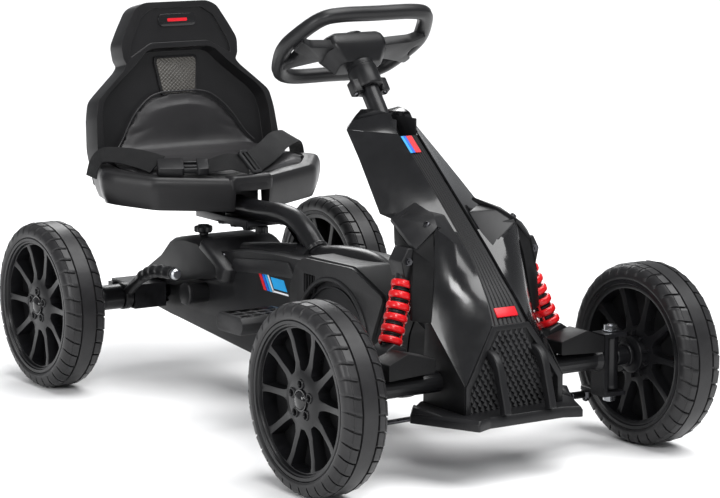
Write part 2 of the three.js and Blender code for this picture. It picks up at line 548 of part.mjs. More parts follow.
const clampPlate = block([-30, 30], [176, 330], [256, 259]);
const clampRiser = block([-24, 24], [262, 400], [294, 313.6]);
const clampWeb = [-21, 21].map((x) => block([x - 3, x + 3], [262, 330], [256, 300]));
const knobs = [0, 1, 2, 3].map((i) => rodZ(0, 189 + i * 37, 243, 256.5, 9, 10));
piece('seat_clamp', union([clampPlate, clampRiser, ...clampWeb, ...knobs]), PAINTED);

// Lap belt: flat webbing from each side of the seat to the buckle at the front edge
const strap = (ends) => convex(ends.flatMap(([x, y]) => [339, 342].flatMap((z) => [[x, y, z], [x, y + 36, z]])));
piece('belt_right', strap([[-168, 362], [-137, 292]]), WEBBING);
piece('belt_left', union([strap([[168, 362], [70, 276]]), strap([[70, 276], [-50, 248]])]), WEBBING);
const buckleOutline = [[-119.6, 305.6], [-132.4, 278.4], [-68.4, 248.4], [-55.6, 275.6]];
piece('belt_buckle', plate(buckleOutline, 'z', 336, 349), BLACK);

export default kart;
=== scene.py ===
"""Pedal go kart: fine surfaces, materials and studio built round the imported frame.

Lengths are millimetres in the row frame (+X driver's left, -Y front, +Z up).
They become metres when a mesh is made.
"""

import math

import bmesh
import bpy
from mathutils import Matrix, Vector


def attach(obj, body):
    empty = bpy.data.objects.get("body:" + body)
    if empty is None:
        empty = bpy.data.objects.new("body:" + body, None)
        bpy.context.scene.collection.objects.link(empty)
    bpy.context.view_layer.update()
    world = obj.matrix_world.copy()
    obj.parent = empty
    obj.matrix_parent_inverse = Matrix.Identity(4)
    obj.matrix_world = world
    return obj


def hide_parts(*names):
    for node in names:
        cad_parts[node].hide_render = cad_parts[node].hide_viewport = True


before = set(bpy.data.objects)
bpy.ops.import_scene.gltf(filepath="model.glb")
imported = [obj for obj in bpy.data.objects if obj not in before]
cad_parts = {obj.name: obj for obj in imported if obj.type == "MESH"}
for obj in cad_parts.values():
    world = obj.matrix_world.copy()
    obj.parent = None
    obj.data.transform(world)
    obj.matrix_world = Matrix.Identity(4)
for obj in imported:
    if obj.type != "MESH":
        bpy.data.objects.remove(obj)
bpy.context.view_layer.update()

# Driving dimensions
MM = 0.001
AXLE_Z = 127
HALF_BASE = 386
CRANK_Y = -105
CRANK_Z = 130
COLUMN_ANGLE = math.radians(52)
COLUMN_POINT = Vector((0, -104, 482))
SEAT_LEAN = math.radians(11)
SIDES = (("right", -1), ("left", 1))


# ---------------------------------------------------------------- shapes: (points, faces) pairs
def prism(outline, axis, low, high):
    """Outline pushed along one axis: x takes (y, z) points, y takes (x, z) and z takes (x, y)."""
    order = {"x": (2, 0, 1), "y": (0, 2, 1), "z": (0, 1, 2)}[axis]
    points = [tuple((u, v, w)[k] for k in order) for w in (low, high) for u, v in outline]
    n = len(outline)
    sides = [(i, (i + 1) % n, n + (i + 1) % n, n + i) for i in range(n)]
    return points, [tuple(range(n)), tuple(range(2 * n - 1, n - 1, -1))] + sides


def block(x, y, z):
    return prism([(x[0], y[0]), (x[1], y[0]), (x[1], y[1]), (x[0], y[1])], "z", z[0], z[1])


def merged(*shapes):
    points, faces = [], []
    for more_points, more_faces in shapes:
        start = len(points)
        points.extend(more_points)
        faces.extend(tuple(i + start for i in face) for face in more_faces)
    return points, faces


def moved(shape, matrix):
    return [tuple(matrix @ Vector(p)) for p in shape[0]], shape[1]


def mirrored(shape):
    return [(-x, y, z) for x, y, z in shape[0]], shape[1]


def loft(rings, closed=True, caps=True):
    """Skin over rings that have the same number of points."""
    n = len(rings[0])
    points = [tuple(p) for ring in rings for p in ring]
    faces = []
    for r in range(len(rings) - 1):
        for i in range(n if closed else n - 1):
            j = (i + 1) % n
            faces.append((r * n + i, r * n + j, (r + 1) * n + j, (r + 1) * n + i))
    if caps:
        last = (len(rings) - 1) * n
        faces.append(tuple(range(n - 1, -1, -1)))
        faces.append(tuple(range(last, last + n)))
    return points, faces


def hull(points):
    work = bmesh.new()
    for p in points:
        work.verts.new(p)
    made = bmesh.ops.convex_hull(work, input=work.verts)
    bmesh.ops.delete(work, geom=list({v for v in made["geom_interior"] if isinstance(v,
            bmesh.types.BMVert)}), context="VERTS")
    bmesh.ops.dissolve_limit(work, angle_limit=0.01, verts=work.verts, edges=work.edges)
    work.verts.index_update()
    shape = [tuple(v.co) for v in work.verts], [tuple(v.index for v in f.verts) for f in work.faces]
    work.free()
    return shape


def smooth_path(points, steps=8, closed=False):
    """Points of a Catmull-Rom curve through the given ones."""
    knots = [Vector(p) for p in points]
    n = len(knots)
    at = (lambda i: knots[i % n]) if closed else (lambda i: knots[min(max(i, 0), n - 1)])
    path = []
    for i in range(n if closed else n - 1):
        a, b, c, d = at(i - 1), at(i), at(i + 1), at(i + 2)
        for k in range(steps):
            t = k / steps
            path.append(0.5 * (2 * b + (c - a) * t + (2 * a - 5 * b + 4 * c - d) * t * t
                               + (3 * b - a - 3 * c + d) * t ** 3))
    return path if closed else path + [knots[-1]]


def circle(radius, sides):
    return [(radius * math.cos(2 * math.pi * i / sides), radius * math.sin(2 * math.pi * i / sides))
            for i in range(sides)]


def sweep(path, section, closed=False, size=lambda t: 1.0, start_side=(1, 0, 0)):
    """Section carried along a path without twisting. section points are (sideways, up)."""
    path = [Vector(p) for p in path]
    n = len(path)
    rings = []
    side = Vector(start_side)
    for i in range(n):
        before = path[(i - 1) % n] if closed or i else path[i]
        after = path[(i + 1) % n] if closed or i < n - 1 else path[i]
        ahead = (after - before).normalized()
        side = (side - ahead * side.dot(ahead)).normalized()
        up = ahead.cross(side)
        s = size(i / max(1, n - 1))
        rings.append([path[i] + side * u * s + up * v * s for u, v in section])
    if closed:
        rings.append(rings[0])
    return loft(rings, caps=not closed)


def tube(path, radius, sides=20, **more):
    return sweep(path, circle(radius, sides), **more)


def along(start, direction):
    """Matrix that takes the Z axis to direction, from start."""
    return Matrix.Translation(Vector(start)) @ Vector(direction).normalized().to_track_quat("Z",
            "Y").to_matrix().to_4x4()


def lathe(profile, start=(0, 0, 0), direction=(0, 0, 1), segments=32):
    """(radius, height) profile turned about an axis, closed on itself unless both ends are on it."""
    capped = profile[0][0] == 0 and profile[-1][0] == 0
    rings = []
    for r, h in profile if capped else profile + [profile[0]]:
        rings.append([(r * math.cos(2 * math.pi * i / segments), r * math.sin(2 * math.pi * i / segments),
                       h) for i in range(segments)])
    return moved(loft(rings, caps=False), along(start, direction))


def rod(start, end, radius, segments=24, edge=0.8):
    length = (Vector(end) - Vector(start)).length
    edge = min(edge, radius * 0.4, length * 0.4)
    profile = [(0, 0), (radius - edge, 0), (radius, edge), (radius, length - edge), (radius - edge, length),
               (0, length)]
    return lathe(profile, start, Vector(end) - Vector(start), segments)


def rounded(outline, radius, steps=4):
    """Outline with every corner rounded. radius is a number, or one number for each corner."""
    n = len(outline)
    radii = radius if isinstance(radius, (list, tuple)) else [radius] * n
    points = []
    for i in range(n):
        corner = Vector(outline[i])
        back = Vector(outline[i - 1]) - corner
        ahead = Vector(outline[(i + 1) % n]) - corner
        r = min(radii[i], back.length * 0.45, ahead.length * 0.45)
        a, b = corner + back.normalized() * r, corner + ahead.normalized() * r
        for k in range(steps + 1):
            t = k / steps
            points.append(tuple(a * (1 - t) ** 2 + corner * 2 * t * (1 - t) + b * t * t))
    return points


def both(half):
    """Outline mirrored in its first coordinate."""
    return list(half) + [(-u, v) for u, v in reversed(half)]


def screw(start, direction, radius=4.5, height=3):
    """Domed screw head with its cross recess shown as a round dip in the top."""
    profile = [(0, height - 1.6), (radius * 0.42, height - 1.6), (radius * 0.5, height),
               (radius * 0.8, height * 0.8), (radius, 0), (0, -0.5)]
    return lathe(profile, start, direction, 18)


def hex_bolt(start, direction, across=10, height=6):
    head = prism(circle(across / math.sqrt(3), 6), "z", 1, height)
    washer = lathe([(0, 0), (across * 0.62, 0), (across * 0.68, 1.2), (0, 1.2)], segments=20)
    end = lathe([(0, height - 0.5), (across * 0.28, height - 0.5), (across * 0.25, height + 1.5),
                 (0, height + 1.5)], segments=16)
    return moved(merged(head, washer, end), along(start, direction))


# ---------------------------------------------------------------- objects
def settle(thing):
    """Applies the modifiers of an object."""
    bpy.context.view_layer.update()
    made = bpy.data.meshes.new_from_object(thing.evaluated_get(bpy.context.evaluated_depsgraph_get()))
    thing.modifiers.clear()
    thing.data = made


def raw_object(name, shape):
    work = bmesh.new()
    points = [work.verts.new(Vector(p) * MM) for p in shape[0]]
    for face in shape[1]:
        if len(set(face)) > 2:
            work.faces.new([points[i] for i in dict.fromkeys(face)])
    bmesh.ops.remove_doubles(work, verts=work.verts, dist=1e-6)
    bmesh.ops.dissolve_degenerate(work, dist=1e-6, edges=work.edges)
    bmesh.ops.recalc_face_normals(work, faces=work.faces)
    mesh = bpy.data.meshes.new(name)
    work.to_mesh(mesh)
    work.free()
    thing = bpy.data.objects.new(name, mesh)
    bpy.context.scene.collection.objects.link(thing)
    return thing


def shade(thing, angle=35):
    mesh = thing.data
    mesh.polygons.foreach_set("use_smooth", [True] * len(mesh.polygons))
    mesh.set_sharp_from_angle(angle=math.radians(angle))


def make(name, shape, material, body, stands_for=(), bevel=0.0, steps=2, cut=None, thick=0.0, fine=0,
         angle=35):
    """One visible piece, cut, thickened, rounded and given to its body."""
    thing = raw_object(name, shape)
    if thick:
        shell = thing.modifiers.new("shell", "SOLIDIFY")
        shell.thickness = thick * MM
        shell.offset = -1
    if cut:
        tool = raw_object("tool", cut)
        knife = thing.modifiers.new("cut", "BOOLEAN")
        knife.operation = "DIFFERENCE"
        knife.solver = "EXACT"
        knife.use_self = True
        knife.object = tool
        settle(thing)
        bpy.data.objects.remove(tool)
    if bevel:
        edge = thing.modifiers.new("edge", "BEVEL")
        edge.width = bevel * MM
        edge.segments = steps
        edge.limit_method = "ANGLE"
        edge.angle_limit = math.radians(28)
        edge.use_clamp_overlap = True
    if fine:
        soft = thing.modifiers.new("soft", "SUBSURF")
        soft.levels = soft.render_levels = fine
    settle(thing)
    thing.data.materials.clear()
    thing.data.materials.append(material)
    shade(thing, angle)
    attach(thing, body)
    if stands_for:
        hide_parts(*([stands_for] if isinstance(stands_for, str) else stands_for))
    return thing


# ---------------------------------------------------------------- materials
class Nodes:
    """Short hand for building one node tree."""

    def __init__(self, name):
        self.material = bpy.data.materials.new(name)
        self.material.use_nodes = True
        self.tree = self.material.node_tree
        self.surface = self.tree.nodes["Principled BSDF"]
        self.place = self.tree.nodes.new("ShaderNodeTexCoord").outputs["Object"]

    def add(self, kind, **values):
        node = self.tree.nodes.new(kind)
        for key, value in values.items():
            setattr(node, key, value)
        return node

    def feed(self, socket, value):
        if isinstance(value, (int, float, tuple)):
            socket.default_value = value
        else:
            self.tree.links.new(value, socket)

    def math(self, operation, a, b=0.5):
        node = self.add("ShaderNodeMath", operation=operation)
        self.feed(node.inputs[0], a)
        self.feed(node.inputs[1], b)
        return node.outputs[0]

    def noise(self, scale, detail=4, rough=0.55):
        node = self.add("ShaderNodeTexNoise")
        self.feed(node.inputs["Vector"], self.place)
        node.inputs["Scale"].default_value = scale
        node.inputs["Detail"].default_value = detail
        node.inputs["Roughness"].default_value = rough
        return node.outputs["Fac"]

    def ramp(self, value, low, high, to_low=0.0, to_high=1.0):
        node = self.add("ShaderNodeMapRange")
        self.feed(node.inputs["Value"], value)
        for key, number in (("From Min", low), ("From Max", high), ("To Min", to_low), ("To Max", to_high)):
            node.inputs[key].default_value = number
        return node.outputs["Result"]

    def mix(self, factor, a, b):
        node = self.add("ShaderNodeMix", data_type="RGBA")
        self.feed(node.inputs["Factor"], factor)
        self.feed(node.inputs[6], a)
        self.feed(node.inputs[7], b)
        return node.outputs[2]

    def bump(self, height, distance, strength=1.0, under=None):
        node = self.add("ShaderNodeBump")
        self.feed(node.inputs["Height"], height)
        node.inputs["Distance"].default_value = distance
        node.inputs["Strength"].default_value = strength
        if under is not None:
            self.feed(node.inputs["Normal"], under)
        return node.outputs["Normal"]


def tint(colour, factor):
    return tuple(min(1.0, c * factor) for c in colour) + (1.0,)


def finish(name, colour, rough, metal=0.0, grain=900, depth=0.00006, wear=2.6, coat=0.0, spread=0.14,
           shine=0.3, pattern=None):
    """Moulded, painted or plated finish: grain, smudged roughness, dust and pale worn edges."""
    n = Nodes(name)
    cloud = n.noise(9, 5)
    fine = n.noise(grain, 3)
    edge = n.ramp(n.add("ShaderNodeNewGeometry").outputs["Pointiness"], 0.515, 0.60)
    worn = n.math("MULTIPLY", edge, n.ramp(n.noise(60), 0.4, 0.62))
    mottled = n.mix(n.ramp(cloud, 0.3, 0.7), tint(colour, 0.82), tint(colour, 1.2))
    n.feed(n.surface.inputs["Base Color"],
           n.mix(n.math("MULTIPLY", worn, 0.5), mottled, tint(colour, wear)))
    rubbed = n.ramp(n.noise(26, 6), 0.32, 0.68, rough * (1 - spread), rough * (1 + spread))
    n.feed(n.surface.inputs["Roughness"], n.math("MULTIPLY", rubbed, n.ramp(fine, 0.3, 0.7, 0.94, 1.06)))
    n.surface.inputs["Metallic"].default_value = metal
    n.surface.inputs["Specular IOR Level"].default_value = shine
    n.surface.inputs["Coat Weight"].default_value = coat
    n.surface.inputs["Coat Roughness"].default_value = 0.08
    relief = n.bump(fine, depth, 0.7)
    if pattern:
        relief = n.bump(pattern(n), 0.0006, 0.9, relief)
    n.feed(n.surface.inputs["Normal"], relief)
    return n.material


def weave(scale_x, scale_y):
    """Height of crossed threads, for webbing and mesh cloth."""
    def height(n):
        apart = n.add("ShaderNodeSeparateXYZ")
        n.feed(apart.inputs[0], n.place)
        across = n.math("SINE", n.math("MULTIPLY", apart.outputs["X"], scale_x))
        down = n.math("SINE", n.math("MULTIPLY", n.math("ADD", apart.outputs["Y"], apart.outputs["Z"]),
                                     scale_y))
        return n.math("MULTIPLY", across, down)
    return height


BLACK = finish("moulded_black", (0.0085, 0.0085, 0.0093), 0.38, depth=0.00008)
SEAT_BLACK = finish("seat_black", (0.0085, 0.0083, 0.0090), 0.36, grain=1300, depth=0.0001, shine=0.32)
GLOSS = finish("gloss_black", (0.0050, 0.0050, 0.0056), 0.19, grain=2200, depth=0.000012, coat=0.25,
               spread=0.25, shine=0.42)
# Darker black: painted shade on the fairing side pods, axle shrouds, rim web, grille back and case recess
# ribs; also used on the nose sides and spoke pads.
DARK_BLACK_AND_SHADE = finish("dark_black_and_painted_shade", (0.0040, 0.0040, 0.0044), 0.50, shine=0.2)
RIM_BLACK = finish("rim_black", (0.0058, 0.0058, 0.0066), 0.32, depth=0.00006, shine=0.28)
TYRE = finish("tyre_foam", (0.0125, 0.0122, 0.0130), 0.40, grain=700, depth=0.00012, spread=0.2, shine=0.34)
GRIP = finish("grip_rubber", (0.0090, 0.0090, 0.0098), 0.36, grain=1600, depth=0.0001, shine=0.34)
PAINT = finish("frame_paint", (0.0070, 0.0070, 0.0080), 0.32, metal=0.1, grain=1200, depth=0.00004,
               wear=3.0, coat=0.1, shine=0.3)
ZINC = finish("zinc_plate", (0.42, 0.43, 0.45), 0.33, metal=1.0, depth=0.00003, wear=1.3, spread=0.3)
DARK_STEEL = finish("dark_steel", (0.060, 0.060, 0.065), 0.30, metal=1.0, depth=0.00003, wear=2.5,
                    spread=0.3)
RED = finish("red_moulding", (0.62, 0.006, 0.010), 0.30, depth=0.00003, wear=1.3, coat=0.2)
CUSHION = finish("cushion_grain", (0.0165, 0.0158, 0.0170), 0.44, grain=1000, depth=0.00022, shine=0.34)
WEBBING = finish("webbing", (0.0090, 0.0090, 0.0096), 0.72, grain=1500, depth=0.0001, shine=0.25,
                 pattern=weave(2400, 2400))
MESH_CLOTH = finish("mesh_cloth", (0.060, 0.056, 0.050), 0.38, shine=0.5, pattern=weave(900, 900))
WHITE = finish("print_white", (0.78, 0.80, 0.84), 0.35, wear=1.0)
BLUE = finish("print_blue", (0.010, 0.110, 0.560), 0.35, wear=1.0)
SKY = finish("print_sky", (0.020, 0.330, 0.700), 0.35, wear=1.0)
PRINT_RED = finish("print_red", (0.62, 0.012, 0.022), 0.35, wear=1.0)

CARRIED = {
    PAINT: ("front_subframe", "rear_carrier", "crank", "rear_axle_housing_left", "steering_column"),
    DARK_STEEL: ("rear_axle", "rear_sprocket", "chainring", "chain"),
    BLACK: ("column_bush",),
}
for material, names in CARRIED.items():
    for name in names:
        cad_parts[name].data.materials.clear()
        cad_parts[name].data.materials.append(material)
        shade(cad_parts[name], 30)


# ---------------------------------------------------------------- wheels, outwards along local +X
SIPES = 36


def tyre_shape():
    half = [(0, 127, 0), (10.6, 127, 0), (11.4, 124.2, 0), (12.8, 124.2, 0), (13.6, 126.8, 1),
            (18, 126.3, 1), (22.4, 125.1, 1), (22.8, 124.1, 1), (23.6, 123.8, 1), (24.2, 124.3, 1),
            (27.4, 122.3, 1), (29.8, 119.4, 1), (31.4, 115.8, 1), (32.1, 112.6, 0.4), (32.3, 109.6, 0),
            (32.1, 107.4, 0), (31.4, 106.6, 0), (31.0, 105.2, 0), (29.0, 104.9, 0), (26, 99, 0),]
    profile = [(-x, r, s) for x, r, s in reversed(half[1:])] + half
    turns = [(0, 0), (0.003, 1), (0.018, 1), (0.022, 0), (0.03, -0.25), (0.06, -0.1), (0.115, 0)]
    rings = []
    for i in range(SIPES):
        for turn, deep in turns:
            ring = []
            for x, r, share in profile:
                slant = 0.06 * ((abs(x) - 13) / 19) ** 1.5 if abs(x) > 13 else 0
                angle = 2 * math.pi * i / SIPES + turn + slant * (1 if x > 0 else -1)
                radius = r - 3.0 * share * deep
                ring.append((x, radius * math.cos(angle), radius * math.sin(angle)))
            rings.append(ring)
    return loft(rings + rings[:1], caps=False)


def window(index):
    """One gap between two spokes, as a (y, z) outline."""
    def edge(radius, sign):
        width = 4.1 + 7 * math.exp(-(radius - 35) / 7) + 2.2 * math.exp(-(95 - radius) / 5)
        angle = (index + 0.5) * math.pi / 5 + sign * (math.pi / 10 - math.asin(min(0.98, width / radius)))
        return radius * math.cos(angle), radius * math.sin(angle)
    radii = (39, 42, 46, 52, 62, 76, 86, 90.5, 93)
    left = [edge(r, -1) for r in radii]
    right = [edge(r, 1) for r in reversed(radii)]
    far = []
    a0, a1 = math.atan2(left[-1][1], left[-1][0]), math.atan2(right[0][1], right[0][0])
    turn = (a1 - a0 + math.pi) % (2 * math.pi) - math.pi
    for k in range(1, 4):
        far.append((94 * math.cos(a0 + turn * k / 4), 94 * math.sin(a0 + turn * k / 4)))
    return left + far + right


def rim_shapes():
    face = lathe([
        (0, 22.5), (12, 22.5), (28, 23.5), (34, 21), (50, 18.5), (80, 20.5), (95.2, 24), (95.2, 2), (0, 2),
    ], direction=(1, 0, 0), segments=80)
    inner_face = lathe([(26, -2), (95.2, -2), (95.2, -22), (80, -20), (50, -19), (34, -20), (26, -20)],
                       direction=(1, 0, 0), segments=80)
    barrel = lathe([(92.5, -27), (94.5, 8), (95, 24.5), (96.5, 28), (98.6, 28.6), (99.4, 31.0),
                    (103.4, 31.4), (104.5, 30.4), (104.3, 28.6), (98, 26.6), (97.5, -26.6), (104.3, -28.6),
                    (104.5, -31), (100, -31.4), (98.5, -28.6), (94, -28),], direction=(1, 0, 0),
                   segments=80)
    hub = lathe([(9, 3), (9, -29), (23, -29.6), (25.5, -28), (26, -12), (30, 3)], direction=(1, 0, 0),
                segments=40)
    ribs = [moved(block((-26, 4), (-1.4, 1.4), (24, 33)), Matrix.Rotation(k * math.pi / 5, 4, "X"))
            for k in range(10)]
    gaps = merged(*[prism(window(k), "x", -50, 50) for k in range(10)])
    pits = []
    collars = []
    for k in range(5):
        y = 21.5 * math.cos(2 * math.pi * k / 5 + math.pi / 2)
        z = 21.5 * math.sin(2 * math.pi * k / 5 + math.pi / 2)
        pits.append(rod((16, y, z), (30, y, z), 4.2, 20))
        collars.append(lathe([(4.4, 0), (7.0, 0), (7.0, 10.2), (6.3, 11.2), (5.2, 11.2), (4.4, 10.2)],
                             (14, y, z), (1, 0, 0), 24))
    web = lathe([(26, -2.2), (95, -2.2), (95, 2.2), (26, 2.2)], direction=(1, 0, 0), segments=60)
    return face, inner_face, gaps, merged(*pits), merged(barrel, hub, *ribs, *collars), web


def cap_shape():
    return merged(lathe([(0, 29.6), (7, 29.0), (10.6, 27.0), (12.4, 24.5), (12.4, 21), (0, 21)],
                        direction=(1, 0, 0), segments=32),
                  lathe([(12.6, 22), (14.4, 22), (14.4, 25), (12.6, 25)], direction=(1, 0, 0), segments=32),
                  )


def build_wheels():
    face, inner_face, gaps, pits, rest, web = rim_shapes()
    tyre = make("tyre_pattern", tyre_shape(), TYRE, "chassis", angle=50)
    spokes = make("spoke_pattern", face, RIM_BLACK, "chassis", cut=merged(gaps, pits), bevel=1.3, steps=3,
                  angle=40)
    inner = make("inner_spoke_pattern", inner_face, RIM_BLACK, "chassis", cut=gaps, bevel=1.3, steps=3,
                 angle=40)
    # Web across the spoke windows in the darker black: painted shade between the spokes.
    middle = make("web_pattern", web, DARK_BLACK_AND_SHADE, "chassis", angle=40)
    barrel = make("barrel_pattern", rest, RIM_BLACK, "chassis", angle=40)
    cap = make("cap_pattern", cap_shape(), GLOSS, "chassis", angle=40)
    wheels = (("front_right", -1, -HALF_BASE, 273, "wheel_front_right"),
              ("front_left", 1, -HALF_BASE, 273, "wheel_front_left"),
              ("rear_right", -1, HALF_BASE, 260, "rear_axle"),
              ("rear_left", 1, HALF_BASE, 260, "wheel_rear_left"))
    for place, side, y, track, body in wheels:
        at = Matrix.Translation(Vector((side * track, y, AXLE_Z))
                                * MM) @ Matrix.Rotation(0 if side > 0 else math.pi, 4, "Z")
        for pattern, name, node in ((tyre, "tyre", "tyre"), (spokes, "spokes", "rim"),
                                    (inner, "inner_spokes", None), (middle, "rim_web", None),
                                    (barrel, "rim_barrel", None), (cap, "cap", "hub_cap")):
            copy = bpy.data.objects.new(f"{name}_{place}_look", pattern.data)
            bpy.context.scene.collection.objects.link(copy)
            copy.matrix_world = at
            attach(copy, body)
            if node:
                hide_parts(f"{node}_{place}")
    for pattern in (tyre, spokes, inner, middle, barrel, cap):
        bpy.data.objects.remove(pattern)


# ---------------------------------------------------------------- steering wheel, local +Z up the column
def on_column(distance):
    return COLUMN_POINT + Vector((0, math.cos(COLUMN_ANGLE), math.sin(COLUMN_ANGLE))) * distance


COLUMN = Matrix.Translation(COLUMN_POINT) @ Matrix.Rotation(COLUMN_ANGLE - math.pi / 2, 4, "X")
WHEEL_UP = 80


def build_steering_wheel():
    half = [(0, 76), (58, 76), (86, 64), (102, 36), (112, 0), (107, -30), (88, -69), (60, -79), (0, -79)]
    ring = half + [(-x, y) for x, y in reversed(half[1:-1])]
    path = smooth_path([(x, y, WHEEL_UP) for x, y in ring], 7, closed=True)
    section = [(11.5 * math.cos(a), 10.6 * math.sin(a)) for a in [k * math.pi / 10 for k in range(20)]]
    section[0] = (10.7, 0)
    section[10] = (-10.7, 0)
    rim = sweep(path, section, closed=True, start_side=(0, 1, 0))
    make("steering_wheel_grip", moved(rim, COLUMN), GRIP, "steering", "steering_wheel_rim", angle=60)

    for name, side in SIDES:
        low, high = WHEEL_UP - 15, WHEEL_UP - 1
        outline = [(30, -15), (30, 17), (52, 17), (84, 27), (104, 35), (109, 22), (96, 12), (96, -6),
                   (110, -14), (104, -36), (84, -22), (50, -19)]
        spoke = prism([(side * x, y) for x, y in rounded(outline, 5)], "z", low, high)
        window_cut = prism([(side * x, y) for x, y in rounded([(60, -10), (60, 6), (84, 10), (84, -10)],
                5)], "z", high - 4, high + 4)
        make(f"wheel_spoke_{name}", moved(spoke, COLUMN), BLACK, "steering", cut=moved(window_cut, COLUMN),
             bevel=2.5, steps=3)
        grips = [rod((side * 101, y, WHEEL_UP - 12), (side * 101, y, WHEEL_UP - 7), 4, 16)
                 for y in (-22, 26)]
        make(f"wheel_spoke_pads_{name}", moved(merged(*grips), COLUMN), DARK_BLACK_AND_SHADE, "steering")

    top = rounded([(-39, -21), (39, -21), (49, -8), (44, 26), (-44, 26), (-49, -8)], 5)
    rings = []
    for z, grow, shift in ((WHEEL_UP - 36, 0.72, 3), (WHEEL_UP - 24, 0.9, 1), (WHEEL_UP - 12, 1.06, 0),
                           (WHEEL_UP - 3, 1.08, 0), (WHEEL_UP + 4, 1.04, 0), (WHEEL_UP + 9, 0.93, 0)):
        rings.append([(x * grow, y * grow + shift, z) for x, y in top])
    make("wheel_hub_pad", moved(loft(rings), COLUMN), BLACK, "steering", "steering_wheel_pad", bevel=1.6,
         steps=3)
    groove = lathe([(0, 0), (21, 0), (21, 3), (0, 3)], (0, 0, WHEEL_UP + 7.5), segments=36)
    make("wheel_hub_badge", moved(groove, COLUMN), GLOSS, "steering", bevel=1)
    collar = lathe([(13.7, 4), (20, 4), (21.5, 6), (21.5, 36), (19.5, 39), (19.5, 46), (13.7, 46)],
                   segments=40)
    lugs = merged(*[prism(rounded([(side * 16, -10), (side * 16, 10), (side * 30, 8), (side * 30, -8)], 4),
                          "z", -2, 18) for side in (-1, 1)])
    make("wheel_collar", moved(merged(collar, lugs), COLUMN), BLACK, "steering", "steering_wheel_collar",
         bevel=1.2)
    screws = merged(*[screw((side * 24, 0, -1.6), (0, 0, -1), 4.2, 3) for side in (-1, 1)])
    make("wheel_collar_screws", moved(screws, COLUMN), DARK_STEEL, "steering")
    make("column_tube", moved(rod((0, 0, -62), (0, 0, 40), 13.5, 32), COLUMN), PAINT, "steering")


# ---------------------------------------------------------------- fairing, nose and front end
# Edges of one fairing shell from its top to the nose: beside the strip, and along the side
CREST = [(16.5, -198, 432), (16, -236, 401), (16, -272, 371), (16.5, -307, 341), (17, -337, 315),
         (18, -367, 288), (21, -395, 258), (25, -417, 233), (30, -436, 206), (79, -446, 131)]
OUTER = [(58.5, -131, 435), (67, -175, 400), (76, -215, 366), (84, -252, 334), (80, -305, 326),
         (67, -357, 327), (73, -363, 280), (79, -368, 240), (85, -372, 206), (80.5, -443, 131)]


def fairing_shell():
    """Left shell: a slightly swollen skin from the strip to the side, with a return edge at the back."""
    rings = []
    for i, (crest, outer) in enumerate(zip(CREST, OUTER)):
        c, o = Vector(crest), Vector(outer)
        b = o + Vector((-14, 10, -4))
        inner = c + Vector((0, 9, -9))
        swell = 4.5 * math.sin(math.pi * min(1, (len(CREST) - 1 - i) / 6))
        out = Vector((0.55, -0.6, 0.35)) * swell
        middle = [c.lerp(o, t) + out * 4 * t * (1 - t) for t in (0.12, 0.3, 0.5, 0.7, 0.88)]
        rings.append([inner, c] + middle + [o, o.lerp(b, 0.15), b])
    return loft(rings, closed=False, caps=False)


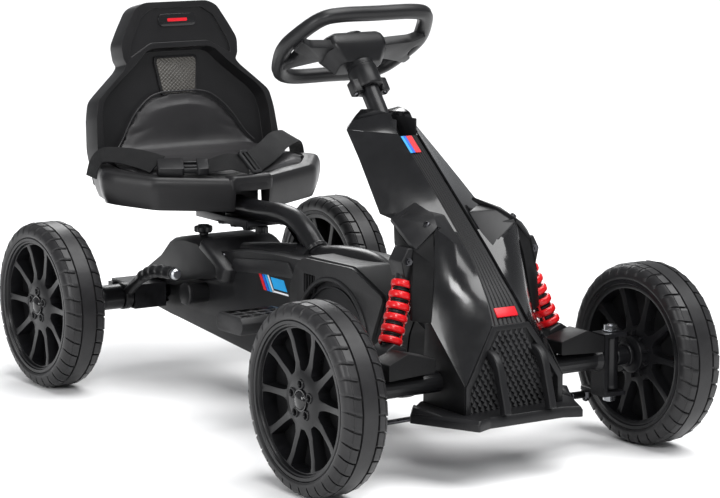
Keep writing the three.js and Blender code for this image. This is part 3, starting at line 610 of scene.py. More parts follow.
def build_fairing():
    """Two shells with their caps, ears and side walls, and the ribbed strip between them."""
    cap_half = [(31.5, -127, 462), (25.5, -140, 463), (21, -161, 462), (16, -178, 459.5), (46, -134, 454),
                (54, -133, 441.5), (58.5, -131, 435), (16.5, -198, 432), (16, -112, 440), (44, -110, 436),
                (17, -112, 456)]
    for name, side in SIDES:
        turn = (lambda s: s) if side > 0 else mirrored
        make(f"fairing_shell_{name}", turn(fairing_shell()), GLOSS, "chassis", f"fairing_{name}",
             thick=3.5, angle=28)
        make(f"fairing_top_{name}", turn(hull(cap_half)), GLOSS, "chassis", bevel=2.2, steps=3)
        ear = [(48, -283, 351), (91, -289, 334), (98, -329, 318), (97.6, -342, 309), (95, -353, 301),
               (66, -360, 329), (53, -333, 342)]
        down = Vector((0, 2.4, -4.4))
        ear_shape = hull([Vector(p) for p in ear] + [Vector(p) + down for p in ear])
        slots = merged(*[hull([(56 + k, -293 - 5 * k, 357), (86 + k, -297 - 5 * k, 343),
                               (56, -295 - 5 * k, 356), (86, -299 - 5 * k, 342), (56, -292 - 5 * k, 347),
                               (84, -296 - 5 * k, 333)]) for k in (0, 1)])
        make(f"ear_{name}", turn(ear_shape), BLACK, "chassis", f"ear_plate_{name}", bevel=2.0, steps=3,
             cut=turn(slots))
        shoulder = [(19, -312, 336), (19, -364, 292), (46, -296, 343), (53, -333, 339), (66, -358, 325),
                    (84, -300, 328), (70, -350, 300), (40, -320, 322)]
        make(f"fairing_shoulder_{name}", turn(hull(shoulder)), BLACK, "chassis", bevel=3, steps=3)
        face = [(67, -354, 325), (96, -349, 300), (104, -356, 256), (106, -360, 206), (84, -375, 203),
                (74, -366, 280)]
        wing = [(88, -290, 326), (97, -328, 310), (96, -349, 300), (104, -356, 256), (97, -320, 268),
                (88, -292, 300)]
        pod = merged(hull([Vector(p) + Vector((0, d, 0)) for p in face for d in (0, 4)]),
                     hull([Vector(p) - Vector((d, 0, 0)) for p in wing for d in (0, 4)]))
        # Side pods in the darker black: painted shade where the pods sit in shadow.
        make(f"fairing_side_{name}", turn(pod), DARK_BLACK_AND_SHADE, "chassis", bevel=1.4)
        slot_wall = block((15.6, 18), (-192, -112), (404, 452))
        make(f"fairing_slot_{name}", turn(slot_wall), BLACK, "chassis", bevel=0.8)
        make(f"ear_screw_{name}", turn(screw((71.5, -344, 330.5), (0.5, -0.35, 0.8), 5)), DARK_STEEL,
             "chassis")

    line = [Vector(p) for p in CREST[:-1]]
    rings = []
    for p in smooth_path(line, 4):
        width = p.x - 0.6
        centre = Vector((0, p.y + 3.2, p.z - 3.2))
        ridge = [(-width + 2 * width * k / 16, 1.3 if k % 2 else 0) for k in range(17)]
        rings.append([centre + Vector((u, -v * 0.6, v * 0.8))
                      for u, v in ridge] + [centre + Vector((width, 3, -4)),
                                            centre + Vector((-width, 3, -4))])
    make("fairing_ribbed_strip", loft(rings), BLACK, "chassis", "fairing_strip", angle=20)

    ahead = (Vector(CREST[1]) - Vector(CREST[0])).normalized()
    out = Vector((0, -0.63, 0.777))
    for k, (material, u0, u1) in enumerate(((SKY, -13, -9), (BLUE, -8.6, -4.6), (PRINT_RED, -4.2, 5))):
        start = Vector((0, CREST[0][1] + 3.2, CREST[0][2] - 3.2)) + out * 2
        corners = [start + Vector((u, 0, 0)) + ahead * d + out * h for h in (0, 0.5) for d in (2, 34)
                   for u in (u0, u1)]
        make(f"crest_stripe_{k}", hull(corners), material, "chassis")
    foot = Vector((0, -425, 216))
    plate_down = Vector((0, -0.63, -0.777)).normalized()
    face = Vector((0, -0.777, 0.63))
    corners = [foot + Vector((u, 0, 0)) + plate_down * d + face * h for h in (0, 2.6) for d in (-9, 5)
               for u in (-17, 17)]
    make("badge_plate", hull(corners), PRINT_RED, "chassis", bevel=0.8)


def diamonds():
    """Overlapping scales of the grille, inside the outline of the nose."""
    shapes = []
    step_x, step_z = 9.0, 7.0
    for row in range(18):
        z = 94 + row * step_z
        reach = 72 if z < 128 else 72 - (z - 128) * 0.66
        for col in range(-9, 10):
            x = (col + 0.5 * (row % 2)) * step_x
            if abs(x) < reach - 3 and z < 198:
                y = -437.5
                shapes.append(([(x - 4.2, y, z), (x, y, z - 6.2), (x + 4.2, y, z), (x, y, z + 6.2),
                                (x, y - 3.4, z - 3.2)],
                               [(0, 1, 4), (1, 2, 4), (2, 3, 4), (3, 0, 4), (3, 2, 1, 0)]))
    return merged(*shapes)


def build_nose():
    """Grille surround with its scales and fins, and the splitter under it."""
    outline = both([(30, 204), (79, 129), (79, 91)])
    frame_ring = prism(outline, "y", -447, -352)
    inner = both([(24.5, 197), (71.5, 126), (71.5, 70)])
    hollow = merged(prism(inner, "y", -460, -436.5), prism(inner, "y", -430, -340),
                    prism([(-360, 60), (-360, 250), (-330, 250), (-330, 60)], "x", -100, 100))
    slope = hull([(x, y, z) for x in (-120, 120)
                  for y, z in ((-436, 207), (-470, 207), (-450, 129), (-470, 129))])
    make("nose_frame", frame_ring, BLACK, "chassis", "nose_cowl", cut=merged(hollow, slope), bevel=1.6,
         steps=3)
    back = prism(both([(26, 199), (73, 127), (73, 92)]), "y", -437, -433)
    # Grille back in the darker black: painted shade behind the scales.
    make("nose_grille_back", back, DARK_BLACK_AND_SHADE, "chassis")
    make("nose_grille_scales", diamonds(), BLACK, "chassis", angle=10)
    for name, side in SIDES:
        x = side * 37
        path = smooth_path([(x, -433, 166), (x, -447, 163), (x, -457, 152), (x, -464, 130), (x, -471, 108),
                            (x, -475, 93)], 5)
        section = rounded([(-5.5, -4), (5.5, -4), (5.5, 9), (-5.5, 9)], 2.5)
        make(f"nose_fin_{name}", sweep(path, section), BLACK, "chassis", bevel=0.8)
        side_panel = hull([(side * x, y, z) for x, y, z in ((76, -444, 91), (81, -446, 91), (81, -446, 130),
                                                            (85, -374, 204), (76, -374, 204),
                                                            (81, -355, 200), (81, -352, 91), (76, -352, 91),
                                                            (76, -444, 130))])
        make(f"nose_side_{name}", side_panel, DARK_BLACK_AND_SHADE, "chassis", bevel=1)
    for name, side in SIDES:
        tip = hull([(side * x, y, z) for x, y, z in ((104, -440, 90), (130, -394, 90), (120, -380, 90),
                                                     (104, -380, 90), (128, -396, 99), (119, -384, 100),
                                                     (112, -420, 95))])
        make(f"splitter_tip_{name}", tip, BLACK, "chassis", bevel=1.5, steps=3)
    lip = rounded(both([(60, -475), (85, -485), (131, -393), (119, -379), (82, -347)]), 3)
    rings = [[(x, y, 77.5) for x, y in lip], [(x * 1.0, y, 87) for x, y in lip],
             [(x * 0.97, y + 2.5, 92) for x, y in lip]]
    make("splitter_lip", loft(rings), BLACK, "chassis", "nose_splitter", bevel=1.6, steps=3,
         cut=merged(prism(both([(46, -424), (46, -330)]), "z", 60, 100),
                    block((-112, 112), (-402, -330), (60, 89))))


def build_front_end():
    """Axle covers, shock absorbers, knuckles, kingpins and tie rods."""
    for name, side in SIDES:
        s = side
        profile = rounded([(s * 104, 146), (s * 178, 142), (s * 178, 163), (s * 148, 175.5),
                           (s * 104, 164)], 2)
        # Axle shrouds in the darker black: painted shade, so their tops stay dark.
        make(f"axle_shroud_{name}", prism(profile, "y", -413, -373), DARK_BLACK_AND_SHADE, "chassis", f"axle_cover_{name}",
             bevel=2.2, steps=3)
        foot, head = Vector((s * 137, -350, 166)), Vector((s * 97, -333, 268))
        axis = (head - foot).normalized()
        core = [(0, 0), (12.4, 0)]
        for k in range(14):
            core += [(12.4, 6 + k * 6.6), (10.2, 7.6 + k * 6.6), (10.2, 10.2 + k * 6.6),
                     (12.4, 11.4 + k * 6.6)]
        core += [(12.4, 108), (0, 108)]
        make(f"shock_core_{name}", lathe(core, foot, axis, 28), BLACK, "chassis")
        coils = [lathe([(11, -4.6), (14.6, -4.8), (16.2, -2.6), (16.2, 2.6), (14.6, 4.8), (11, 4.6)],
                       foot + axis * (16 + 15.4 * k), axis, 36) for k in range(6)]
        side_way = Vector((0.84, s * 0.54, 0))
        rails = [rod(foot + axis * 12 + side_way * w, foot + axis * 96 + side_way * w, 1.7, 10)
                 for w in (-13, 13)]
        make(f"shock_rings_{name}", merged(*coils, *rails), RED, "chassis", f"shock_spring_{name}",
             bevel=0.5)
        shoe = hull([(s * x, y, z) for y in (-368, -333)
                     for x, z in ((118, 150), (150, 144), (158, 158), (151, 172), (138, 180), (119, 172))])
        hat = hull([(s * x, y, z) for y in (-348, -316)
                    for x, z in ((84, 258), (109, 262), (114, 284), (104, 302), (86, 300))])
        stem = block((min(s * 118, s * 130), max(s * 118, s * 130)), (-371.5, -350), (118, 152))
        make(f"shock_ends_{name}", merged(shoe, hat, stem), BLACK, "chassis", f"shock_body_{name}",
             bevel=2.2, steps=3)
        bolts = merged(screw((s * 147, -368, 164), (0, -1, 0), 6, 4),
                       hex_bolt((s * 104, -348, 284), (0, -1, 0), 8, 4))
        make(f"shock_bolts_{name}", bolts, DARK_STEEL, "chassis")

        x = s * 210
        body = f"knuckle_{name}"
        sleeve = lathe([(6.6, 82), (10.6, 82), (11.6, 84), (11.6, 90), (11, 91.5), (11, 150), (11.6, 152),
                        (11.6, 156), (10.6, 158), (6.6, 158)], (x, -HALF_BASE, 0), segments=28)
        arm = merged(block((x - 7, x + 7), (-380, -358), (82.5, 88.5)),
                     block((x - 7, x + 7), (-364, -358), (73, 88.5)),
                     prism(rounded([(s * 206 - 7, -364), (s * 206 + 7, -364), (s * 206 + 7, -333),
                                    (s * 206 - 7, -333)], 6), "z", 73, 79))
        spindle = merged(rod((s * 218, -HALF_BASE, AXLE_Z), (s * 297, -HALF_BASE, AXLE_Z), 8),
                         rod((s * 216, -HALF_BASE, AXLE_Z), (s * 241, -HALF_BASE, AXLE_Z), 12.5),
                         rod((s * 234, -HALF_BASE, AXLE_Z), (s * 239, -HALF_BASE, AXLE_Z), 17))
        make(f"knuckle_{name}_look", merged(sleeve, arm, spindle), PAINT, body, f"knuckle_{name}",
             bevel=0.6)
        pin = merged(hex_bolt((x, -HALF_BASE, 164.3), (0, 0, 1), 17, 8),
                     hex_bolt((x, -HALF_BASE, 75.7), (0, 0, -1), 16, 9),
                     rod((x, -HALF_BASE, 70), (x, -HALF_BASE, 168), 6))
        make(f"kingpin_{name}_look", pin, ZINC, "chassis", f"kingpin_{name}")
        drop = on_column(-450.5 - 32) + Vector((0, math.sin(COLUMN_ANGLE), -math.cos(COLUMN_ANGLE))) * 37
        inner = Vector((s * 13, drop.y, drop.z))
        outer = Vector((s * 206, -340, 66.5))
        rod_parts = merged(tube([outer, outer.lerp(inner, 0.5), inner], 3.4, 14),
                           rod(outer + Vector((0, 0, -4.5)), outer + Vector((0, 0, 5)), 7.5),
                           rod(inner + Vector((0, -2.6, -3.3)), inner + Vector((0, 2.6, 3.3)), 7),
                           rod(outer.lerp(inner, 0.03), outer.lerp(inner, 0.16), 5.2),
                           hex_bolt(outer + Vector((0, 0, -4.5)), (0, 0, -1), 9, 4))
        make(f"tie_rod_{name}_look", rod_parts, DARK_STEEL, f"tie_rod_{name}", f"tie_rod_{name}")


# ---------------------------------------------------------------- chain case, drive and rear
# Middle lines of the two frame tubes, as (y, z) points
MAIN_PATH = [(-352, 140), (-250, 184), (-174, 217), (-117, 236), (-60, 238), (20, 228), (150, 200),
             (300, 165), (358, 152)]
SEAT_PATH = [(396, 275), (300, 275), (190, 276), (137, 278.5), (98, 275), (66, 262), (42, 244), (24, 226)]


def build_frame():
    """Main tube with the crank shell, and the seat tube welded on top of it."""
    main = tube(smooth_path([(0, y, z) for y, z in MAIN_PATH], 8), 17, 32)
    head = moved(rod((0, 0, -490), (0, 0, -190), 16, 32), COLUMN)
    shell = rod((-32, CRANK_Y, CRANK_Z), (32, CRANK_Y, CRANK_Z), 20, 40)
    bore = rod((-40, CRANK_Y, CRANK_Z), (40, CRANK_Y, CRANK_Z), 10.2, 32)
    gusset = block((-9, 9), (CRANK_Y - 20, CRANK_Y + 20), (CRANK_Z + 15, 226))
    beam = rod((-60, -HALF_BASE, AXLE_Z), (60, -HALF_BASE, AXLE_Z), 14.4, 32)
    make("main_tube_look", main, PAINT, "chassis", "main_frame_tube", cut=merged(head, beam))
    make("crank_shell", merged(shell, gusset), PAINT, "chassis", cut=bore, bevel=0.6)
    seat = tube(smooth_path([(0, y, z) for y, z in SEAT_PATH], 8), 15.5, 32)
    make("seat_tube_look", seat, PAINT, "chassis", "seat_support_tube")
    plate = prism([(116, 264), (100, 264), (80, 240), (62, 226), (50, 240)], "x", -3, 3)
    weld = [lathe([(15, -3), (17.5, -1.5), (18.3, 0.5), (17, 2.5), (15, 3)],
                  (0, 34 + 1.5 * k, 236 + 1.2 * k), (0, 0.72, 0.7), 32) for k in range(3)]
    make("seat_tube_gusset", merged(plate, *weld), PAINT, "chassis", bevel=0.4)


CASE_MIDDLE = -7


def other_side(shape):
    """The same shape mirrored across the middle plane of the chain case."""
    vertices, faces = shape
    return [(2 * CASE_MIDDLE - x, y, z) for x, y, z in vertices], [tuple(reversed(f)) for f in faces]


def build_drive():
    """Chain case with its crank rings, boss, stripes and screws, and the two pedals."""
    outline = rounded([(-236, 214), (-204, 150), (-196, 104), (-162, 55), (-105, 36), (-45, 46), (40, 68),
                       (127, 77), (368, 94), (412, 99), (426, 112), (426, 150), (300, 203), (180, 220),
                       (60, 232), (-16, 234), (-30, 243), (-155, 245)], 6)
    wall = prism(outline, "x", -58, -1.5)
    passages = merged(tube(smooth_path([(0, y, z) for y, z in MAIN_PATH], 4), 17.8, 24),
                      tube(smooth_path([(0, y, z) for y, z in SEAT_PATH], 4), 16.4, 24),
                      block((-3.6, 3.6), (44, 190), (220, 262)))
    other = prism(outline, "x", 1.5, 44)
    holes = merged(rod((-10, CRANK_Y, CRANK_Z), (90, CRANK_Y, CRANK_Z), 17, 32),
                   rod((-10, HALF_BASE, AXLE_Z), (90, HALF_BASE, AXLE_Z), 20.4, 32),
                   block((-10, 40), (356, 450), (100, 152)))
    make("case_left_wall", other, BLACK, "chassis", "chain_case_left", bevel=7, steps=4,
         cut=merged(holes, passages))
    ridge = tube(smooth_path([(-6, 300, 188), (-6, 183, 206), (-6, 70, 219), (-6, 30, 221)], 8), 23, 32)
    make("case_ridge", ridge, PAINT, "chassis", cut=passages, bevel=1)
    cuts = merged(rod((-90, CRANK_Y, CRANK_Z), (10, CRANK_Y, CRANK_Z), 17, 32),
                  block((-40, 10), (356, 450), (100, 152)),
                  rod((-90, HALF_BASE, AXLE_Z), (10, HALF_BASE, AXLE_Z), 17, 32))
    make("case_right_wall", wall, BLACK, "chassis", "chain_case_right", bevel=7, steps=4,
         cut=merged(cuts, passages))
    raised = rounded([(-232, 212), (-204, 152), (-198, 104), (-163, 57), (-105, 38), (-45, 48), (-14, 56),
                      (6, 76), (8, 196), (-8, 228), (-26, 240), (-155, 243)], 9)
    hollow = merged(rod((-90, CRANK_Y, CRANK_Z), (10, CRANK_Y, CRANK_Z), 86, 64),
                    prism(rounded([(-29, 190), (-58, 190), (-58, 218), (-29, 218)], 2), "x", -80, -60))
    make("case_right_raised", prism(raised, "x", -64, -50), BLACK, "chassis", bevel=5, steps=4, cut=hollow)
    make("case_left_raised", other_side(prism(raised, "x", -64, -50)), BLACK, "chassis", bevel=5, steps=4,
         cut=other_side(hollow))
    rib_bars = merged(*[block((-63.5, -59), (-56 + 7 * k, -53.5 + 7 * k), (191, 217)) for k in range(4)])
    # Recess ribs in the darker black: painted shade inside the recess.
    make("case_recess_ribs", rib_bars, DARK_BLACK_AND_SHADE, "chassis", bevel=0.5)
    rings = merged(lathe([(85.5, 56), (92.5, 56), (93, 65), (91.5, 67), (87, 67), (85.5, 65)],
                         (0, CRANK_Y, CRANK_Z), (-1, 0, 0), 80),
                   lathe([(77, 55), (79, 55), (79, 62), (77, 62)], (0, CRANK_Y, CRANK_Z), (-1, 0, 0), 80),
                   lathe([(17.5, 50), (84, 50), (84, 59), (30, 61), (26, 64), (17.5, 64)],
                         (0, CRANK_Y, CRANK_Z), (-1, 0, 0), 80))
    make("case_crank_ring", rings, BLACK, "chassis", bevel=0.6)
    make("case_left_crank_ring", other_side(rings), BLACK, "chassis", bevel=0.6)
    ledge = rounded([(0, 204), (20, 226), (60, 224), (170, 211), (180, 190), (100, 198), (10, 204)], 4)
    make("case_ledge", prism(ledge, "x", -61.5, -50), BLACK, "chassis", bevel=1.5)
    boss = lathe([(0, 40), (15, 40), (15, 88), (17, 89), (17, 93), (15.5, 95), (0, 95)], (0, 262, 145),
                 (-1, 0, 0), 36)
    make("case_boss", boss, BLACK, "chassis", bevel=0.5)
    lip = rounded([(60, 78), (90, 66), (380, 92), (380, 102), (120, 84)], 3)
    make("case_lower_lip", prism(lip, "x", -52, -30), BLACK, "chassis", bevel=1)
    screws = merged(*[screw((-58, y, z), (-1, 0, 0), 4, 2.4)
                      for y, z in ((100, 100), (200, 106), (205, 210), (330, 120))])
    make("case_screws", screws, DARK_STEEL, "chassis")
    make("case_left_screws", other_side(screws), DARK_STEEL, "chassis")
    for k, (material, y0, y1) in enumerate(((PRINT_RED, 104, 97), (BLUE, 95, 89), (SKY, 87, 81),
                                            (WHITE, 79, 76))):
        stripe = [(y0, 199), (y1, 199), (y1 - 16, 175), (y0 - 16, 175)]
        make(f"case_stripe_{k}", prism(stripe, "x", -58.7, -58), material, "chassis")
    make("case_stripe_line", prism([(64, 178), (22, 178), (20, 175.5), (62, 175.5)], "x", -58.7, -58),
         WHITE, "chassis")
    make("case_stripe_block", prism([(70, 197), (34, 197), (24, 181), (60, 181)], "x", -58.6, -58), SKY,
         "chassis")

    for name, side in SIDES:
        y = CRANK_Y - side * 84.69
        z = CRANK_Z - side * 23.91
        a, b = sorted((side * 92, side * 184))
        body_line = rounded([(y - 36, z - 4), (y - 30, z - 12), (y + 30, z - 13), (y + 37, z - 4),
                             (y + 37, z + 5), (y + 30, z + 13), (y - 30, z + 14), (y - 37, z + 4)], 3)
        pockets = []
        for i in range(4):
            for j in range(3):
                x0 = a + 8 + i * 20
                y0 = y - 28 + j * 19.5
                pockets.append(block((x0, x0 + 16), (y0, y0 + 16), (z + 8, z + 30)))
                pockets.append(block((x0, x0 + 16), (y0, y0 + 16), (z - 30, z - 8)))
        make(f"pedal_{name}_look", prism(body_line, "x", a, b), BLACK, f"pedal_{name}", f"pedal_{name}",
             bevel=1.2, cut=merged(*pockets))


def build_rear():
    """Hand brake, axle sleeve, star knob and rear cover."""
    lever_line = smooth_path([(-132, 386, 127), (-132, 366, 140), (-132, 342, 156), (-132, 318, 170),
                              (-132, 290, 180), (-132, 258, 184), (-132, 228, 185)], 8)
    grip = sweep(lever_line, circle(8.5, 20),
                 size=lambda t: 0.95 + 0.12 * math.sin(t * 58) * (t > 0.45) + (0.12 if t > 0.4 else 0))
    neck = lathe([(12.6, -6.6), (20.5, -6.6), (21, -5), (21, 5), (20.5, 6.6), (12.6, 6.6)],
                 (-132, 386, 127), (1, 0, 0), 40)
    make("brake_handle", merged(grip, neck), BLACK, "brake_lever", "brake_lever", bevel=0.6)
    make("brake_handle_end", rod((-132, 230, 185), (-132, 219, 185), 8.4, 24, 2.5), ZINC, "brake_lever")
    sleeve = lathe([(9.2, 140), (18, 140), (19.5, 142), (19.5, 170), (20.5, 172), (20.5, 178), (19.5, 180),
                    (19.5, 221), (18, 223), (9.2, 223)], (0, HALF_BASE, AXLE_Z), (-1, 0, 0), 40)
    nose = lathe([(9.2, 124), (12, 124), (12, 142), (9.2, 142)], (0, HALF_BASE, AXLE_Z), (-1, 0, 0), 32)
    make("axle_sleeve_right", merged(sleeve, nose), PAINT, "chassis", "rear_axle_housing_right", bevel=0.4)
    x, y = -46, 285
    lobes = [rod((x + 9 * math.cos(a), y + 9 * math.sin(a), 234),
                 (x + 9 * math.cos(a), y + 9 * math.sin(a), 244), 6, 20, 2)
             for a in [2 * math.pi * k / 5 for k in range(5)]]
    knob = merged(rod((x, y, 234), (x, y, 246), 10.5, 30, 2), rod((x, y, 229), (x, y, 236), 7), *lobes)
    make("star_knob_look", knob, BLACK, "chassis", "star_knob", bevel=0.5)

    outline = [(461, 146), (383, 190), (350, 219), (297, 229), (250, 228), (178, 194), (187, 176),
               (320, 150), (432, 122)]
    rings = [[(x, 320 + (y - 320) * g, 180 + (z - 180) * g) for y, z in outline]
             for x, g in ((-72, 0.84), (-60, 0.97), (-48, 1.0), (34, 1.0), (45, 0.97), (56, 0.84))]
    room = merged(block((-134, 44), (358, 448), (100, 151)),
                  rod((30, HALF_BASE, AXLE_Z), (90, HALF_BASE, AXLE_Z), 20.4, 32))
    make("rear_cover_look", loft(rings), BLACK, "chassis", "rear_cover", cut=room, bevel=3.5, steps=3)
    band = [(250, 231), (236, 227), (168, 192), (178, 172), (196, 170), (200, 192), (256, 218)]
    rings = [[(x, 214 + (y - 214) * g, 200 + (z - 200) * g) for y, z in band]
             for x, g in ((-76, 0.86), (-68, 1.0), (48, 1.0), (56, 0.86))]
    make("rear_cover_band", loft(rings), BLACK, "chassis", bevel=3, steps=3)


# ---------------------------------------------------------------- seat
SEAT_BACK = Matrix.Translation(Vector((0, 420, 340))) @ Matrix.Rotation(-SEAT_LEAN, 4, "X")


def droop(shape):
    """Lets the front of the seat hang lower than its back."""
    vertices, faces = shape
    return [Vector((x, y, z - 12 * min(1, max(0, (330 - y) / 117)))) for x, y, z in vertices], faces


def build_seat():
    back_half = [(0, 240), (57, 239), (74, 231), (93, 200), (106, 176), (104, 152), (99, 143), (106, 134),
                 (142, 103), (156, 90), (162, 63), (166, 15), (160, -40)]
    back_line = rounded(both(back_half[1:]),
                        [8, 8, 8, 8, 4, 4, 4, 8, 8, 8, 8, 4, 4, 8, 8, 8, 8, 4, 4, 4, 8, 8, 8, 8])
    back = loft([[(x, d, h) for x, h in back_line] for d in (-19, 19)])
    panel = rounded(both([(50, 167), (62, 163), (84, 142), (132, 104), (146, 88), (152, 64), (154, 15),
                          (150, -60)]), 6)
    deep = loft([[(x * 1.02, d, h + 1) if d < 0 else (x * 0.96, d, h - 4) for x, h in panel]
                 for d in (-30, 3)])
    head = rounded(both([(45, 229), (66, 215), (88, 174), (92, 153), (70, 165), (52, 175)]), 5)
    shallow = loft([[(x, d, h) for x, h in head] for d in (-30, -15.5)])
    make("seat_back", moved(back, SEAT_BACK), SEAT_BLACK, "seat",
         cut=moved(merged(deep, shallow), SEAT_BACK), bevel=4.5, steps=4)
    badge = prism(rounded([(-34, 200), (34, 200), (34, 220), (-34, 220)], 9), "y", -17.4, -12)
    make("head_badge", moved(badge, SEAT_BACK), GLOSS, "seat", bevel=1)
    bar = prism(rounded([(-18, 207.5), (18, 207.5), (18, 212.5), (-18, 212.5)], 2), "y", -17.9, -17)
    make("head_badge_mark", moved(bar, SEAT_BACK), PRINT_RED, "seat")
    for grow, d0, d1, material in ((1.0, -0.5, 5, SEAT_BLACK), (0.9, -1.6, 5, MESH_CLOTH)):
        grille = rounded([(-38, 155), (38, 155), (40, 147), (32, 92), (-32, 92), (-40, 147)], 7)
        shape = prism([(x * grow, 124 + (h - 124) * grow) for x, h in grille], "y", d0, d1)
        make("back_mesh" if grow < 1 else "back_mesh_frame", moved(shape, SEAT_BACK), material, "seat",
             bevel=1.2)

    base_half = [(30, 213), (147, 263), (189, 316), (197, 332), (194, 345), (180, 375), (168, 418),
                 (150, 447)]
    base_line = rounded(both(base_half), 10, 5)
    rings = []
    for z, grow in ((284, 0.955), (296, 0.98), (310, 0.997), (320, 1.0), (327, 0.993), (332, 0.978),
                    (334.5, 0.955), (335, 0.93)):
        rings.append([(x * grow, 330 + (y - 330) * grow, z) for x, y in base_line])
    dish_line = rounded(both([(30, 240), (130, 276), (164, 318), (170, 336), (158, 380), (146, 440)]), 12,
                        5)
    dish = loft([[(x * g, 330 + (y - 330) * g, z) for x, y in dish_line]
                 for z, g in ((320, 0.9), (326, 0.95), (345, 1.0))])
    under = loft([[(x * g, 330 + (y - 330) * g, z) for x, y in dish_line]
                  for z, g in ((270, 1.05), (312, 1.0))])
    notch = block((-30, 30), (190, 262), (250, 304))
    make("seat_base", droop(loft(rings)), SEAT_BLACK, "seat", "seat_shell",
         cut=merged(droop(dish), droop(under), notch), bevel=2.5, steps=3)
    wall = block((-36, 36), (258, 262), (270, 312))
    make("seat_notch_wall", wall, BLACK, "seat", cut=rod((0, 240, 275.5), (0, 280, 275.5), 17.2, 32))
    bump = loft([[(x * g, 228 + (y - 228) * g, z) for x, y in rounded(both([(36, 214), (44, 232),
            (34, 250)]), 6)] for z, g in ((304, 1.0), (322, 1.0), (327, 0.88))])
    make("seat_front_bump", bump, SEAT_BLACK, "seat", bevel=3, steps=3)

    build_cushion()
    build_belts()


def cushion_sections():
    """Stations from the front edge back to the crease and up the backrest: half width, y, z."""
    return [(34, 236, 325), (84, 256, 327.5), (128, 278, 330), (152, 304, 333.5), (162, 328, 336),
            (160, 356, 336.5), (152, 384, 338), (140, 406, 343), (127, 418, 352), (113, 424.5, 367),
            (97, 430, 391), (80, 433.5, 410.7), (55, 437, 429), (30, 438.5, 435)]


def build_cushion():
    rings = []
    stations = [Vector(s) for s in smooth_path(cushion_sections(), 3)]
    for i, s in enumerate(stations):
        before, after = stations[max(0, i - 1)], stations[min(len(stations) - 1, i + 1)]
        ahead = Vector((0, after.y - before.y, after.z - before.z)).normalized()
        out = Vector((0, -ahead.z, ahead.y))
        ring = []
        for k in range(25):
            u = -1 + 2 * k / 24
            crown = (2.0 if s.z < 339 else 4.5) * (1 - abs(u) ** 3)
            ring.append(Vector((u * s.x, s.y, s.z)) + out * crown)
        under = [Vector((u * s.x * 0.99, s.y, s.z)) - out * 5 for u in [1 - 2 * k / 24 for k in range(25)]]
        rings.append(ring + under)
    pad = raw_object("seat_pad", loft(rings))
    puff_up(pad)
    pad.data.materials.clear()
    pad.data.materials.append(CUSHION)
    shade(pad, 60)
    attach(pad, "seat")
    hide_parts("seat_cushion")
    path = [(s.x * 0.985, s.y - 3, s.z + 2) for s in stations if s.z > 350]
    full = path + [(-x, y, z) for x, y, z in reversed(path)]
    make("seat_pad_piping", tube(full, 1.4, 8), CUSHION, "seat")


def puff_up(pad):
    """Short cloth run with inner pressure, so that the cushion swells between its edges."""
    remesh = pad.modifiers.new("remesh", "REMESH")
    remesh.mode = "VOXEL"
    remesh.voxel_size = 0.005
    settle(pad)
    rest = [v.co.copy() for v in pad.data.vertices]
    cloth = pad.modifiers.new("cloth", "CLOTH")
    cloth.settings.use_pressure = True
    cloth.settings.uniform_pressure_force = 4
    cloth.settings.effector_weights.gravity = 0
    cloth.point_cache.frame_start = 1
    cloth.point_cache.frame_end = 20
    for number in range(1, 21):
        bpy.context.scene.frame_set(number)
    settle(pad)
    for v, start in zip(pad.data.vertices, rest):
        travel = v.co - start
        if travel.length > 0.003:
            v.co = start + travel.normalized() * 0.003
    soft = pad.modifiers.new("soft", "SUBSURF")
    soft.levels = soft.render_levels = 1
    settle(pad)
    bpy.context.scene.frame_set(1)


def strap(name, path, across, width=38, thickness=1.6):
    """Flat webbing along a path; across gives its width direction at each end."""
    points = smooth_path(path, 8)
    start, end = Vector(across[0]).normalized(), Vector(across[1]).normalized()
    rings = []
    for i, p in enumerate(points):
        side = start.lerp(end, i / (len(points) - 1))
        ahead = (points[min(i + 1, len(points) - 1)] - points[max(i - 1, 0)]).normalized()
        side = (side - ahead * side.dot(ahead)).normalized() * width / 2
        up = side.normalized().cross(ahead) * thickness / 2
        rings.append([p - side + up, p + side + up, p + side - up, p - side - up])
    thing = make(name, loft(rings), WEBBING, "seat", bevel=0.4)
    return thing


def build_belts():
    right_path = [(-186, 388, 318), (-181, 386, 338), (-170, 378, 352), (-150, 350, 353), (-134, 316, 349),
                  (-124, 290, 344)]
    right = strap("lap_belt_right", right_path, ((0.1, 1, 0.2), (0.35, 0.75, 0.55)))
    middle_path = [(-62, 254, 340), (-44, 248, 343), (-24, 246, 346), (-6, 242, 343), (8, 240, 340)]
    strap("lap_belt_middle", middle_path, ((0.2, 0.9, 0.35), (0.25, 0.55, 0.8)), width=34)
    left_path = [(14, 243, 342), (40, 259, 347), (76, 288, 354), (112, 322, 361), (146, 354, 362),
                 (170, 374, 360), (184, 384, 348), (189, 386, 326)]
    left = strap("lap_belt_left", left_path, ((-0.3, 0.6, 0.75), (-0.1, 1, 0.1)))
    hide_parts("belt_right")
    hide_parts("belt_left")

    lie = Matrix.Translation((-95, 265, 341)) @ Matrix.Rotation(math.radians(-25), 4,
            "Z") @ Matrix.Rotation(math.radians(24), 4, "X")
    socket = prism(rounded([(-38, -15), (2, -17), (2, 17), (-38, 15)], 4), "z", -7, 7)
    prongs = merged(block((0, 26), (-13, -8), (-4, 4)), block((0, 26), (8, 13), (-4, 4)),
                    block((0, 30), (-3, 3), (-3, 3)))
    plug = prism(rounded([(22, -17), (40, -15), (40, 15), (22, 17)], 4), "z", -6, 6)
    make("belt_buckle_look", moved(merged(socket, prongs, plug), lie), BLACK, "seat", "belt_buckle",
         bevel=1.8, steps=3)
    lie = Matrix.Translation((12, 243, 343)) @ Matrix.Rotation(math.radians(30), 4,
            "Z") @ Matrix.Rotation(math.radians(48), 4, "X")
    slide = prism(rounded([(-12, -22), (12, -22), (12, 22), (-12, 22)], 4), "z", -2.4, 3.4)
    slots = merged(block((-8.5, -2.5), (-17, 17), (-9, 9)), block((2.5, 8.5), (-17, 17), (-9, 9)))
    make("belt_slide", moved(slide, lie), BLACK, "seat", cut=moved(slots, lie), bevel=1.0)


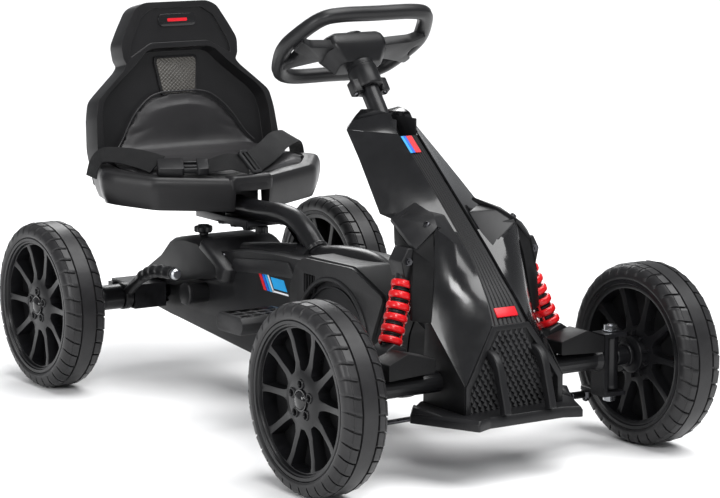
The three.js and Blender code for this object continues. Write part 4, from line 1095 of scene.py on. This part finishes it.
def build_seat_clamp():
    plate = merged(block((-32, 32), (172, 332), (255, 258.5)), block((-34, -30), (180, 330), (252, 264)),
                   block((30, 34), (180, 330), (252, 264)))
    riser = merged(block((-24, 24), (262, 400), (292, 312)), block((-24, -20), (262, 330), (257, 300)),
                   block((20, 24), (262, 330), (257, 300)))
    make("seat_clamp_look", merged(plate, riser), PAINT, "seat", "seat_clamp", bevel=1.2)
    knobs = []
    for k in range(4):
        y = 189 + 37 * k
        flutes = [(9.4 + 0.9 * math.cos(8 * a), a) for a in [2 * math.pi * i / 48 for i in range(48)]]
        knobs.append(moved(prism([(r * math.cos(a), r * math.sin(a)) for r, a in flutes], "z", 242, 252),
                           Matrix.Translation((0, y, 0))))
        knobs.append(rod((0, y, 250), (0, y, 257), 5))
    make("seat_clamp_knobs", merged(*knobs), BLACK, "seat", bevel=0.8)


# ---------------------------------------------------------------- studio
def build_studio():
    bpy.ops.mesh.primitive_plane_add(size=60, location=(0, 0, 0))
    floor = bpy.context.object
    floor.name = "studio_floor"
    n = Nodes("studio_floor")
    n.feed(n.surface.inputs["Base Color"], n.mix(n.noise(3), (0.88, 0.88, 0.885, 1), (0.92, 0.92, 0.92, 1)))
    n.surface.inputs["Roughness"].default_value = 0.7
    n.surface.inputs["Specular IOR Level"].default_value = 0.1
    floor.data.materials.append(n.material)

    world = bpy.data.worlds.new("studio")
    bpy.context.scene.world = world
    bpy.context.scene.view_settings.view_transform = "Standard"
    world.use_nodes = True
    world.node_tree.nodes["Background"].inputs["Color"].default_value = (0.95, 0.97, 1.0, 1.0)
    world.node_tree.nodes["Background"].inputs["Strength"].default_value = 0.32

    sun = bpy.data.lights.new("soft_sun", "SUN")
    sun.energy = 3.5
    sun.angle = math.radians(50)
    lamps = [(sun, (0.65, -0.75, 3.2))]
    for name, place, power, size in (("key", (-2.8, -0.9, 1.2), 30, 1.2), ("rim", (1.2, 2.4, 1.9), 30, 1.4),
                                     ("front", (-1.5, -2.9, 2.3), 42, 1.0)):
        data = bpy.data.lights.new(name, "AREA")
        data.shape = "DISK"
        data.energy = power
        data.size = size
        lamps.append((data, place))
    for data, place in lamps:
        lamp = bpy.data.objects.new(data.name, data)
        lamp.location = place
        lamp.rotation_euler = (Vector((0, 0, 0.3)) - Vector(place)).to_track_quat("-Z", "Y").to_euler()
        bpy.context.scene.collection.objects.link(lamp)


def build_camera():
    azimuth, height, roll = -0.54449, 0.169616, -0.004029
    back = Vector((math.sin(azimuth) * math.cos(height), -math.cos(azimuth) * math.cos(height),
                   math.sin(height)))
    right = (-back).cross(Vector((0, 0, 1))).normalized()
    up = right.cross(-back)
    tilted_right = right * math.cos(roll) + up * math.sin(roll)
    tilted_up = up * math.cos(roll) - right * math.sin(roll)
    data = bpy.data.cameras.new("camera")
    data.sensor_width = 36
    data.lens = 128.89
    data.shift_x = 0.1638
    data.shift_y = 0.0180
    camera = bpy.data.objects.new("camera", data)
    turn = Matrix((tilted_right, tilted_up, back)).transposed().to_4x4()
    camera.matrix_world = Matrix.Translation((-2.0303, -3.1056, 0.8596)) @ turn
    bpy.context.scene.collection.objects.link(camera)
    bpy.context.scene.camera = camera


build_wheels()
build_steering_wheel()
build_fairing()
build_nose()
build_front_end()
build_frame()
build_drive()
build_rear()
build_seat()
build_seat_clamp()
build_studio()
build_camera()
